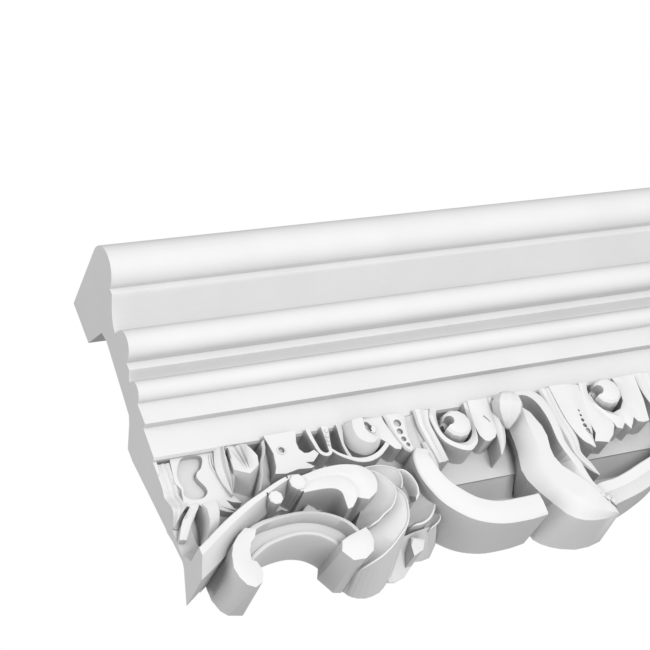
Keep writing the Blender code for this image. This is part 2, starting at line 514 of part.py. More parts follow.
def swags(relief):
    """The two hanging swags either side of the great ribbon."""
    ribbon("left_swag", [(185.4, 180, 9, 42.6), (181.8, 187, 12, 44.3), (181.6, 197.6, 14.4, 45),
                         (184.5, 208, 15.4, 45), (190.6, 219, 17, 45), (204, 231.6, 17, 45),
                         (221, 238, 16.6, 45), (240, 238.7, 16.8, 44.6),
                         (256.4, 238, 16, 43.6)], relief, SWAG)
    ribbon("right_swag", [(298, 239, 18, 38.6), (313.5, 237.6, 18.3, 40), (326, 236, 16.4, 40.4),
                          (340, 232.8, 16.8, 40.6), (353, 228.6, 16.8, 40.6), (370, 222.5, 15.6, 40.6),
                          (385, 214.5, 15, 40.4), (400, 205, 14, 40.2), (413, 194, 12.5, 40),
                          (421, 184, 11, 39.6)], relief, SWAG)
    patch("swag_tuck", [(246, 229, 40), (262, 228, 30), (270, 232, 30), (270, 246, 30), (256, 247, 41),
                        (246, 247, 42)], relief)


def great_ribbon(relief):
    """The tapered bud and the two strands that fall from it and turn over below."""
    left = [(262.4, 171, 43), (263.4, 179, 43.8), (262.4, 187, 44), (256.6, 203, 44), (255, 208.5, 44),
            (256, 216, 43.8), (260, 229, 43.4), (266, 239.6, 42.2), (273, 247, 39.6), (281, 252.6, 36.4),
            (291, 256.6, 33.6), (302, 258.2, 32), (311, 257.4, 31.6)]
    right = [(276, 160.4, 42.4), (281, 167, 43.4), (284.6, 179.5, 44), (284.8, 188, 44.2), (282.2, 198, 44.2),
             (281.8, 205, 44.2), (284.6, 213, 43.8), (292, 221, 43.4), (299.6, 230, 43), (305, 238.4, 42),
             (309, 244, 40.8), (313.4, 249.6, 39.4), (317, 254.6, 36)]
    middle = []
    for k, (one, two) in enumerate(zip(left, right)):
        rise = 1.4 * math.sin(math.pi * (k + 0.5) / len(left))
        middle.append(tuple((a + b) / 2 for a, b in zip(one[:2], two[:2])) + ((one[2] + two[2]) / 2 + rise,))
    patch("front_strand", left + right[::-1] + [(266, 158, 42)], relief, [middle[1:-1]])
    patch("ribbon_channel", [(268, 150, 23), (284, 151, 23), (293, 160, 25), (297.4, 178, 28), (298, 196, 33),
                             (299, 208, 37.4), (302.4, 220, 40), (304.4, 236, 40.4), (300, 240, 40),
                             (284, 226, 41), (276, 204, 34), (270, 172, 24)], relief)
    ribbon("rear_strand", [(272, 152.4, 7, 42), (280, 152, 8, 42.4), (289.4, 156.8, 8, 42.4),
                           (295.4, 166, 6.4, 42.2), (297.6, 178, 5.4, 42.2), (296.4, 190, 5.6, 42.2),
                           (296, 198, 7.4, 42)], relief,
           ((-1.0, 0.0), (0.3, 0.2), (1.0, 2.2)))
    patch("rear_fall", [(291, 194, 41.4), (299, 194, 41.6), (303.4, 210, 41.6), (306.4, 227.4, 41),
                        (309, 236, 40.8), (316.4, 248.4, 39), (310, 246, 39), (300, 236, 40.4),
                        (290, 224, 40.4), (284, 214, 38.4), (284, 206, 36)], relief,
          [[(293, 198, 41.8), (300.4, 220, 41.6), (310, 241, 40.4)]])
    bud("ribbon_bud", (264.6, 159.5, 43.5), (259.6, 177, 37.4), 11, 2.8, relief)


def back_web(relief):
    """The low web that closes the gaps between the hanging ornaments."""
    outline = [(-PAST, 190), (-PAST, 230), (18, 222), (30, 228), (41, 220), (56, 215), (76, 214), (90, 216),
               (103, 222), (110, 232), (118, 245), (135, 245), (150, 240), (170, 236), (188, 230), (203, 236),
               (218, 239), (240, 240), (262, 240), (285, 248), (305, 250), (318, 246), (335, 235), (353, 229),
               (370, 222), (385, 214), (400, 205), (413, 194), (421, 190)]
    patch("web", level(outline, WEB_OUT / OUT_UNIT), relief)


def sweep(name, profile, start, end, group):
    """A profile of drop and out, run along the casting."""
    bm = bmesh.new()
    face = bm.faces.new([bm.verts.new(place(start, drop, out)) for drop, out in profile])
    moved = bmesh.ops.extrude_face_region(bm, geom=[face])["geom"]
    shift = place(end, 0, 0) - place(start, 0, 0)
    bmesh.ops.translate(bm, verts=[v for v in moved if isinstance(v, bmesh.types.BMVert)], vec=shift)
    return keep_mesh(bm, name, group)


def hollow(name, top, height, profile, end, group):
    """A hollow cut from the wall side, its profile given as share of its height, and depth."""
    points = [(top, -PAST)] + [(top + share * height, deep) for share, deep in profile]
    return sweep(name, points + [(top + height, -PAST)], -PAST, end, group)


def block_cut(name, low, high, group):
    """A box cutter between two corners given as along, drop and out."""
    bm = bmesh.new()
    bmesh.ops.create_cube(bm, size=1.0)
    for vert in bm.verts:
        vert.co = place(*[high[k] if vert.co[k] > 0 else low[k] for k in range(3)])
    return keep_mesh(bm, name, group)


def back_cuts(group):
    """The wall plane, both ends, the two long hollows and the pocket at the left end."""
    far = LENGTH
    block_cut("wall_cut", (-far, -far, -far), (2 * far, 2 * far, 0), group)
    block_cut("left_cut", (-far, -far, -far), (0, 2 * far, far), group)
    block_cut("right_cut", (LENGTH, -far, -far), (LENGTH + far, 2 * far, far), group)
    deep, shallow = UPPER_HOLLOW_DEEP, UPPER_HOLLOW_SHALLOW
    land_top = DROPS["upper_band"] + LAND_BELOW_BEAD
    upper = [(0, 0), (0.11, 0.92 * deep), (0.21, deep), (0.67, 1.11 * shallow), (0.845, shallow),
             (0.89, 0.78 * shallow), (1, 0)]
    hollow("upper_hollow", TOP_LAND, land_top - TOP_LAND, upper, LENGTH + PAST, group)
    lower = [(0, 0), (0.865, LOWER_HOLLOW_DEEP), (0.96, LOWER_HOLLOW_DEEP), (1, 0)]
    land_foot = land_top + LAND
    hollow("lower_hollow", land_foot, DROPS["foot"] - LOWER_RIM - land_foot, lower, LENGTH + PAST, group)
    deep = END_POCKET_DEEP
    pocket = [(0, 0.5 * deep), (0.27, 0.82 * deep), (0.585, deep), (0.66, 0.91 * deep), (1, 0)]
    hollow("end_pocket", DROPS["foot"] - END_POCKET_RISE, END_POCKET_DROP, pocket, END_POCKET, group)


def plaster():
    """White cast plaster, quite matte."""
    material = bpy.data.materials.new("white_plaster")
    material.use_nodes = True
    shader = material.node_tree.nodes["Principled BSDF"]
    shader.inputs["Base Color"].default_value = (0.86, 0.86, 0.85, 1.0)
    shader.inputs["Roughness"].default_value = 0.85
    shader.inputs["Metallic"].default_value = 0.0
    return material


def combine(item, operation, group):
    """Join or cut an object with everything in a group."""
    change = item.modifiers.new(operation.lower(), "BOOLEAN")
    change.operation = operation
    change.operand_type = "COLLECTION"
    change.collection = group
    change.solver = "EXACT"


def carve(relief, cuts):
    """Every form of the carving, from left to right and then downward."""
    left_cartouche(relief, cuts)
    left_leaves(relief, cuts)
    first_curl(relief, cuts)
    middle_leaves(relief, cuts)
    right_leaves(relief, cuts)
    scroll(relief)
    shell(relief)
    swags(relief)
    great_ribbon(relief)
    back_web(relief)


def build():
    """Join the carving to the plain moulding, then cut the back and the ends."""
    clear_scene()
    part = new_collection("panel_moulding_part")
    relief = new_collection("relief")
    cuts = new_collection("cuts")
    rough = sweep("rough_casting", moulding_section(), -PAST, LENGTH + PAST, part)
    carve(relief, cuts)
    back_cuts(cuts)
    combine(rough, "UNION", relief)
    combine(rough, "DIFFERENCE", cuts)
    graph = bpy.context.evaluated_depsgraph_get()
    mesh = bpy.data.meshes.new_from_object(rough.evaluated_get(graph))
    bpy.data.objects.remove(rough, do_unlink=True)
    bm = bmesh.new()
    bm.from_mesh(mesh)
    bmesh.ops.remove_doubles(bm, verts=bm.verts, dist=MERGE)
    bmesh.ops.dissolve_degenerate(bm, dist=MERGE, edges=bm.edges)
    bmesh.ops.dissolve_limit(bm, angle_limit=math.radians(0.5), verts=bm.verts, edges=bm.edges)
    bmesh.ops.triangulate(bm, faces=bm.faces)
    casting = keep_mesh(bm, "panel_moulding", part)
    casting.hide_render = False
    casting.display_type = "TEXTURED"
    casting.data.materials.append(plaster())


build()
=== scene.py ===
import math

import bmesh
import bpy
import numpy as np
from mathutils import Matrix, Vector
from mathutils.geometry import delaunay_2d_cdt


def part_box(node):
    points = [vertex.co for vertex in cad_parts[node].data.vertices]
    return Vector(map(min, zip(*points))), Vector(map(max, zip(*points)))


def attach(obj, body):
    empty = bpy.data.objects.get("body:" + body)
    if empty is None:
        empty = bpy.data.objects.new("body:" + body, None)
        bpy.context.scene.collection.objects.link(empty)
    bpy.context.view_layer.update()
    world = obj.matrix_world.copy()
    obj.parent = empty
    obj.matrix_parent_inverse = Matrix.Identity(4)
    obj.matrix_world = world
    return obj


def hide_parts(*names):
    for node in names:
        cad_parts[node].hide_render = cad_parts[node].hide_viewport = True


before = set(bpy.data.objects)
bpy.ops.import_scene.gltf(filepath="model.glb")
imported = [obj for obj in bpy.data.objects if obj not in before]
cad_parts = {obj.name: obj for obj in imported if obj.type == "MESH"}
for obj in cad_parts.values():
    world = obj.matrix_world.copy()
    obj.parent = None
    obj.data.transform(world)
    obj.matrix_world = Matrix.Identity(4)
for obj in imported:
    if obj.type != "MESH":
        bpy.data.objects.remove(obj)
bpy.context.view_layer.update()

MM = 0.001
NODE = "panel_moulding"
LOW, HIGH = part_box(NODE)
LENGTH = round((HIGH.x - LOW.x) / MM, 3)
ORIGIN_DROP = HIGH.z / MM

# The plain moulding's members in mm: height or radius, and how far out of the wall.
TOP_BEAD, TOP_BEAD_OUT = 17.0, 60.0
TOP_FILLET, TOP_FILLET_OUT = 4.8, 62.0
TOP_COVE, TOP_COVE_OUT = 21.5, 44.8
MID_BEAD, MID_BEAD_OUT = 11.0, 48.0
MID_FILLET, MID_FILLET_OUT = 5.9, 45.3
LOW_COVE, LOW_COVE_OUT = 6.3, 39.2
LOW_BEAD, LOW_BEAD_OUT = 8.0, 39.3
UPPER_BAND, UPPER_BAND_OUT = 15.8, 38.8
LOWER_BAND, LOWER_BAND_OUT = 22.2, 34.0
# The chamfer below the lower band, the ground, the back's lands and the tuck under the top bead.
CHAMFER = 1.2
GROUND_OUT = 20.3
GROUND_FOOT = 201.2
TOP_LAND = 34.0
LAND = 9.6
BEAD_TUCK = 0.5
# The width of a softened edge between two members.
ARRIS = 0.4

# Reaches in mm: past each end, behind the wall plane, just inside the ground, and where cutters start.
PAST = 5.0
WALL = -2.0
ON_GROUND = 19.0
CUTTER_OUT = 80.0
# How far down the leaves' roots are, just inside the lower band.
LEAF_TOP = 148.3

# Degrees between points round a bead, and steps between two stations of a curve.
ARC_STEP = 6.0
STEPS = 5
# Widths in mm: below the first a section gets shallower, and no tip is narrower than the second.
NARROW = 8.0
THINNEST = 0.6
# Points closer than this are one: in a face's outline in mm, in a mesh in metres.
CLOSE = 0.02
MERGE = 0.00001
# Edges that turn by more than this stay sharp.
CREASE = math.radians(27)

# Cross-sections of a leaf or ribbon: share of half width, depth below its front in mm.
FLAT = ((-1.0, 0.5), (-0.8, 0.0), (0.8, 0.0), (1.0, 0.5))
RIDGE = ((-1.0, 3.2), (-0.55, 1.3), (0.0, 0.0), (0.55, 1.3), (1.0, 3.2))
TROUGH = ((-1.0, 0.4), (-0.85, 0.0), (-0.45, 2.2), (0.0, 2.9), (0.45, 2.2), (0.85, 0.0), (1.0, 0.4))
FLUTES = ((-1.0, 2.6), (-0.8, 0.6), (-0.55, 2.0), (-0.25, 0.2), (0.05, 1.9), (0.4, 0.0), (0.7, 1.4),
          (1.0, 3.0))
SWAG = ((-1.0, 0.9), (-0.9, 0.1), (-0.2, 0.0), (0.1, 0.5), (0.85, 1.8), (1.0, 2.8))
STRIP = ((-1.0, 0.8), (-0.94, 0.2), (-0.3, 0.0), (-0.26, 0.3), (1.0, 13.2))
LIP = ((-1.0, 2.4), (-0.9, 1.4), (-0.56, 0.0), (-0.5, 0.8), (-0.5, 12.6), (-0.1, 12.9), (0.25, 13.4),
       (0.56, 13.4), (0.62, 11.8), (0.8, 11.7), (0.92, 12.4), (1.0, 14.0))

# Rings of a round boss: share of its radius, share of its fall.
DOME = ((0.93, 0.42), (0.78, 0.14), (0.5, 0.02), (0.2, 0.0))
# A round curl: fall and number of sides of its ball, depth of its eye and of its mouth.
CURL_FALL, CURL_SIDES = 6.5, 11
EYE_DEPTH, MOUTH_DEPTH = 10.5, 22
# The pegs: number of sides, and their turn in degrees.
PEG_SIDES, PEG_TILT = 8, 22
# A petal's edge: how far its outline lies below it, and how much wider and deeper the line inside it is.
EDGE_LOW, EDGE_WIDER, EDGE_FALL = 0.3, 1.7, 1.1

# The clouds of tone in the plaster: place on the ramp and grey.
CLOUDS = ((0.3, 0.79), (0.75, 0.83))
# How far in metres the painted shade in a hollow reaches.
PAINTED_SHADE_REACH = 0.045
# The studio: white, the floor's width, drop and grey, and the strength of the surround.
WHITE = (1.0, 1.0, 1.0, 1.0)
FLOOR_WIDTH, FLOOR_DROP, FLOOR_GREY = 16.0, 1.9, 0.72
SURROUND = 0.34
# Soft boxes: the side they stand on, their power in watts and their width in metres.
LAMPS = (("key", (-0.02, -1.0, -0.38), 30.0, 0.8), ("left", (-1.0, -0.2, 0.0), 11.5, 1.2))
LAMP_DISTANCE = 2.0
# The photograph's camera: focal length and film width in mm, and its matrix in metres.
LENS, FILM = 101.05, 36.0
VIEWPOINT = ((0.87245, 0.11872, -0.47406, -0.68528),
             (-0.32789, -0.57710, -0.74796, -0.996555),
             (-0.36238, 0.80800, -0.46457, -0.64735),
             (0.0, 0.0, 0.0, 1.0))

unions, cuts = [], []


def spot(along, drop, out):
    """A point given in mm from the left end, below the top and out of the wall."""
    return Vector(((along - LENGTH / 2) * MM, -out * MM, (ORIGIN_DROP - drop) * MM))


def keep(bm, name, group):
    """Close a bmesh and keep it as an operand."""
    bmesh.ops.remove_doubles(bm, verts=bm.verts, dist=MERGE)
    bmesh.ops.triangulate(bm, faces=bm.faces)
    bmesh.ops.recalc_face_normals(bm, faces=bm.faces)
    mesh = bpy.data.meshes.new(name)
    bm.to_mesh(mesh)
    bm.free()
    group.append(bpy.data.objects.new(name, mesh))


def eased(stations, steps=STEPS, looped=False):
    """A curve through the stations, with every value of theirs eased alike."""
    rows = [np.array(row, dtype=float) for row in stations]
    if looped:
        rows = [rows[-1]] + rows + rows[:2]
    else:
        rows = [2 * rows[0] - rows[1]] + rows + [2 * rows[-1] - rows[-2]]
    path = []
    for a, b, c, d in zip(rows, rows[1:], rows[2:], rows[3:]):
        for k in range(steps):
            t = k / steps
            bend = 2 * a - 5 * b + 4 * c - d + t * (3 * b - a - 3 * c + d)
            path.append(b + 0.5 * t * (c - a + t * bend))
    if not looped:
        path.append(rows[-2])
    return path


def patch(name, outline, lines=(), group=unions, lean=(0.0, 0.0), back=WALL, feet=None):
    """A faceted face whose points each carry their own reach; its sides run back to the wall or the feet."""
    points = [tuple(float(v) for v in row) for row in outline]
    count = len(points)
    edges = [(k, (k + 1) % count) for k in range(count)]
    for line in lines:
        start = len(points)
        points += [tuple(float(v) for v in row) for row in line]
        edges += [(start + k, start + k + 1) for k in range(len(line) - 1)]
    made = delaunay_2d_cdt([Vector(p[:2]) for p in points], edges, [list(range(count))], 1, CLOSE)
    verts, faces, origin = made[0], made[2], made[3]
    bm = bmesh.new()
    tops, bases = [], []
    for vert, source in zip(verts, origin):
        if source:
            out = max(points[k][2] for k in source)
        else:
            near = sorted(points, key=lambda p: (p[0] - vert.x) ** 2 + (p[1] - vert.y) ** 2)[:2]
            out = (near[0][2] + near[1][2]) / 2
        tops.append(bm.verts.new(spot(vert.x, vert.y, out)))
        place = (vert.x + lean[0], vert.y + lean[1])
        marked = [k for k in source if k < count]
        if feet and marked:
            place = feet[marked[0]][:2]
        bases.append(bm.verts.new(spot(place[0], place[1], back)))
    sides = {}
    for face in faces:
        bm.faces.new([tops[k] for k in face])
        for k, one in enumerate(face):
            sides[(one, face[(k + 1) % len(face)])] = True
    rim = {one: two for one, two in sides if (two, one) not in sides}
    for one, two in rim.items():
        bm.faces.new((tops[two], tops[one], bases[one], bases[two]))
    if feet:
        walk = [next(iter(rim))]
        while rim[walk[-1]] != walk[0]:
            walk.append(rim[walk[-1]])
        bm.faces.new([bases[k] for k in reversed(walk)])
    else:
        for face in faces:
            bm.faces.new([bases[k] for k in reversed(face)])
    for vert in [v for v in bm.verts if not v.link_faces]:
        bm.verts.remove(vert)
    keep(bm, name, group)


def level(outline, out):
    """Points of one height."""
    return [(row[0], row[1], out) for row in outline]


def cut(name, outline, floor):
    """A sunk place with straight walls and a flat floor."""
    patch(name, level(outline, CUTTER_OUT), group=cuts, back=floor)


def ring(along, drop, radius, out, sides, squash=1.0, start=0.0, turn=360.0):
    """Points round a circle, or part of one."""
    whole = abs(turn - 360.0) < 0.01
    steps = sides if whole else sides + 1
    angles = [math.radians(start + turn * k / sides) for k in range(steps)]
    return [(along + radius * math.cos(t), drop + radius * squash * math.sin(t), out) for t in angles]


def closed(line):
    """A line brought back to its first point."""
    return line + line[:1]


def ribbon(name, stations, section=RIDGE):
    """A leaf or ribbon lofted along its stations of along, drop, width and out."""
    path = eased(stations)
    last = len(path) - 1
    bm = bmesh.new()
    rings = []
    for i, (x, drop, width, out) in enumerate(path):
        run = path[min(i + 1, last)][:2] - path[max(i - 1, 0)][:2]
        run = run / np.linalg.norm(run)
        half = max(width, THINNEST) / 2
        shallow = min(1.0, width / NARROW)
        reaches = [(share, out - depth * shallow) for share, depth in section]
        reaches += [(section[-1][0], WALL), (section[0][0], WALL)]
        rings.append([bm.verts.new(spot(x - run[1] * half * share, drop + run[0] * half * share, reach))
                      for share, reach in reaches])
    for one, two in zip(rings, rings[1:]):
        for k in range(len(one)):
            n = (k + 1) % len(one)
            bm.faces.new((one[k], one[n], two[n], two[k]))
    bm.faces.new(rings[0])
    bm.faces.new(rings[-1])
    keep(bm, name, unions)


def inset(points, width, fall=0.0):
    """A line beside another at a set distance, to its left as it runs."""
    rows = [np.array(p, dtype=float) for p in points]
    beside = []
    for k, row in enumerate(rows):
        run = rows[min(k + 1, len(rows) - 1)][:2] - rows[max(k - 1, 0)][:2]
        run = run / np.linalg.norm(run)
        beside.append((row[0] - run[1] * width, row[1] + run[0] * width, row[2] - fall))
    return beside


def petal(name, edge, root, hollow, bevel=0.9, base=None):
    """A petal with a crisp bright edge and a face that hollows in to its root."""
    rim = eased(edge, 2)
    foot = eased(root, 3)
    side = bevel if foot[len(foot) // 2][0] < rim[len(rim) // 2][0] else -bevel
    crisp = inset(rim, side)[1:-1]
    fallen = inset(rim, side * EDGE_WIDER, EDGE_FALL)[1:-1]
    outline = [(p[0], p[1], p[2] - EDGE_LOW) for p in rim] + [tuple(p) for p in reversed(foot)]
    middle = []
    for k in range(2, len(rim) - 2):
        other = foot[min(len(foot) - 1, round(k * (len(foot) - 1) / (len(rim) - 1)))]
        halfway = rim[k] + (other - rim[k]) * 0.5
        middle.append((halfway[0], halfway[1], halfway[2] - hollow))
    feet = None
    if base:
        feet = eased(level(base, WALL), 2) + [tuple(p) for p in reversed(foot)]
    patch(name, outline, [crisp, fallen, middle[::2]], feet=feet)


def dome(name, along, drop, radius, front, fall, sides):
    """A round boss whose face swells to its middle."""
    rings = [closed(ring(along, drop, radius * share, front - fall * down, sides)) for share, down in DOME]
    patch(name, ring(along, drop, radius, front - fall, sides), rings)


def bead(top, radius, centre_out, first, last):
    """Points round a bead's nose, from one angle to another."""
    count = int(round((first - last) / ARC_STEP))
    turns = [math.radians(first + (last - first) * k / count) for k in range(count + 1)]
    return [(top + radius - radius * math.sin(t), centre_out + radius * math.cos(t)) for t in turns]


def cove(top, height, upper_out, lower_out, steps):
    """Points down a cove that eases back to its lower edge."""
    shares = [k / steps for k in range(steps + 1)]
    return [(top + height * s, lower_out + (upper_out - lower_out) * (1 - s) ** 2) for s in shares]


def section_drops():
    """Where each member of the plain moulding starts, down from the top."""
    drops = {"fillet": 2 * TOP_BEAD - BEAD_TUCK}
    drops["cove"] = drops["fillet"] + TOP_FILLET
    drops["mid_bead"] = drops["cove"] + TOP_COVE
    drops["mid_fillet"] = drops["mid_bead"] + 2 * MID_BEAD
    drops["low_cove"] = drops["mid_fillet"] + MID_FILLET
    drops["low_bead"] = drops["low_cove"] + LOW_COVE
    drops["upper_band"] = drops["low_bead"] + 2 * LOW_BEAD
    drops["lower_band"] = drops["upper_band"] + UPPER_BAND
    drops["soffit"] = drops["lower_band"] + LOWER_BAND + CHAMFER
    return drops


DROPS = section_drops()


def sweep(name, profile, start, end, group):
    """A drop and out profile run along the casting."""
    bm = bmesh.new()
    face = bm.faces.new([bm.verts.new(spot(start, drop, out)) for drop, out in profile])
    moved = bmesh.ops.extrude_face_region(bm, geom=[face])["geom"]
    shift = spot(end, 0, 0) - spot(start, 0, 0)
    bmesh.ops.translate(bm, verts=[v for v in moved if isinstance(v, bmesh.types.BMVert)], vec=shift)
    keep(bm, name, group)


def moulding():
    """The plain moulding with the ground under it."""
    d = DROPS
    points = [(0.0, -PAST), (0.0, TOP_BEAD_OUT - 8)]
    points += bead(0.0, TOP_BEAD, TOP_BEAD_OUT, 90, -72)
    points += [(d["fillet"], TOP_FILLET_OUT), (d["cove"] - ARRIS, TOP_FILLET_OUT)]
    points += cove(d["cove"], TOP_COVE, TOP_FILLET_OUT - ARRIS, TOP_COVE_OUT, 12)
    points += bead(d["mid_bead"], MID_BEAD, MID_BEAD_OUT, 82, -80)
    points += [(d["mid_fillet"] + 0.2, MID_FILLET_OUT), (d["low_cove"], MID_FILLET_OUT)]
    points += cove(d["low_cove"], LOW_COVE, MID_FILLET_OUT, LOW_COVE_OUT, 7)[1:]
    points += bead(d["low_bead"], LOW_BEAD, LOW_BEAD_OUT, 72, -90)
    points += [(d["upper_band"] + 0.3, UPPER_BAND_OUT), (d["lower_band"], UPPER_BAND_OUT)]
    points += [(d["lower_band"] + ARRIS, LOWER_BAND_OUT), (d["soffit"] - CHAMFER, LOWER_BAND_OUT - 1)]
    points += [(d["soffit"], LOWER_BAND_OUT - 3), (d["soffit"], GROUND_OUT)]
    points += [(GROUND_FOOT, GROUND_OUT), (GROUND_FOOT, -PAST)]
    sweep("plain", points, -PAST, LENGTH + PAST, unions)


def left_cartouche():
    """The plate with its sunk kidney, its fluted strip and its leaf tips at the left end."""
    flutes = ((-1.0, 0.0), (-0.2, 0.0), (0.05, 0.9), (0.3, 0.1), (0.5, 1.0), (0.7, 0.1), (0.85, 0.8),
              (1.0, 0.4))
    ribbon("end_strip", [
        (4, 151, 18, 28.7), (4, 168, 17, 28.7), (4, 174, 17, 26.7), (4, 181, 16, 29.6),
        (2.6, 188, 13, 31.6), (1, 195, 9, 24)], tuple((-s, d) for s, d in reversed(flutes)))
    patch("end_edge", level([(0, LEAF_TOP), (2.6, LEAF_TOP), (1.6, 157), (0, 160)], 29.4))
    plate = [(12, LEAF_TOP, 29.2), (47, LEAF_TOP, 29.2), (42, 155, 29.2), (41.4, 162, 29.2),
             (41.6, 170.5, 29.2), (42.4, 178, 29), (50, 188.5, 27.5), (44, 187, 28), (39.5, 185, 28.6),
             (44.4, 193, 27), (33.6, 188, 28.6), (46, 194.4, 25.6), (38, 192.6, 27), (30, 189.4, 28.6),
             (22, 187.6, 28.8), (20.4, 184.8, 28.8), (18.6, 187, 28.8), (12.4, 186.6, 28.8), (9, 187, 28.8),
             (11, 177.5, 29.2), (12, 172, 29.2), (9.3, 166.5, 29.2), (11.3, 153, 29.2)]
    patch("end_plate", plate, [[(44, 184, 29), (49.6, 188.4, 27.6)], [(34, 186, 29), (43.8, 192.6, 27.2)]])
    for k, (x, foot) in enumerate(((39.6, 170), (37.8, 166))):
        ribbon("plate_line_%d" % k, [(x + 1.6, 151, 0.8, 29.9), (x, 158, 0.9, 29.9),
                                     (x + 0.8, 164, 0.9, 29.9), (x + 2.4, foot, 0.6, 29.4)], FLAT)
    patch("end_finger", [
        (11.6, 184, 29), (19.4, 184, 29.4), (18.2, 187.6, 29.6), (14, 192.4, 29), (10.4, 197, 28),
        (4.2, 206.6, 26.4), (-0.4, 205.6, 26), (5.4, 193.6, 27.4)],
        [[(16.4, 184.6, 30.2), (12.6, 192, 29.6), (8.6, 193.4, 28.6), (1.4, 205.4, 26.8)]])
    cut("end_gap", [
        (13.2, 185.4), (11.2, 187.6), (6.4, 192.4), (2.6, 199), (-0.8, 206.4), (-4, 206), (-2.6, 200),
        (2.4, 193), (7.4, 188), (11.6, 184.6)], 21.4)
    patch("end_blade", [
        (20.4, 184, 26), (32, 184, 30), (31.4, 188, 31), (31, 193, 31), (28, 201, 30.6), (22.6, 208, 29.6),
        (14.4, 214.6, 27), (13.2, 213.4, 24), (16.8, 205, 22), (19.2, 196, 22.4)],
        [[(22, 185, 29.6), (23.2, 190, 31.4), (22.2, 198, 31.4), (19, 206, 30), (14.4, 213.6, 27.4)]])
    cut("blade_gap", [
        (14.2, 193.6), (18.6, 188.6), (20, 186), (19.2, 195), (16.8, 204.6), (13.4, 212), (12.4, 206),
        (12.4, 198)], 15.4)
    patch("end_ground", [
        (-PAST, 196, 21), (-PAST, 214, 20.4), (-PAST, 227, 32), (9, 222, 32), (17, 216, 28),
        (37, 203, 21.2), (44, 196, 21.2)], [[(-PAST, 215, 20.4), (4, 213, 20.6), (15, 208, 20.8)]])
    kidney = eased([
        (20.7, 149.6), (16.4, 153.6), (13, 160.5), (12.4, 165.8), (13.6, 171.5), (12.4, 176.2), (15, 179.6),
        (19.4, 181), (24.6, 180.6), (28.8, 177.4), (28.8, 173.4), (26.6, 169), (25.4, 165), (27, 161.8),
        (30.8, 159), (33.8, 153.2), (32.6, 150), (27, 149.2)], 3, True)
    cut("kidney", kidney, 24.6)


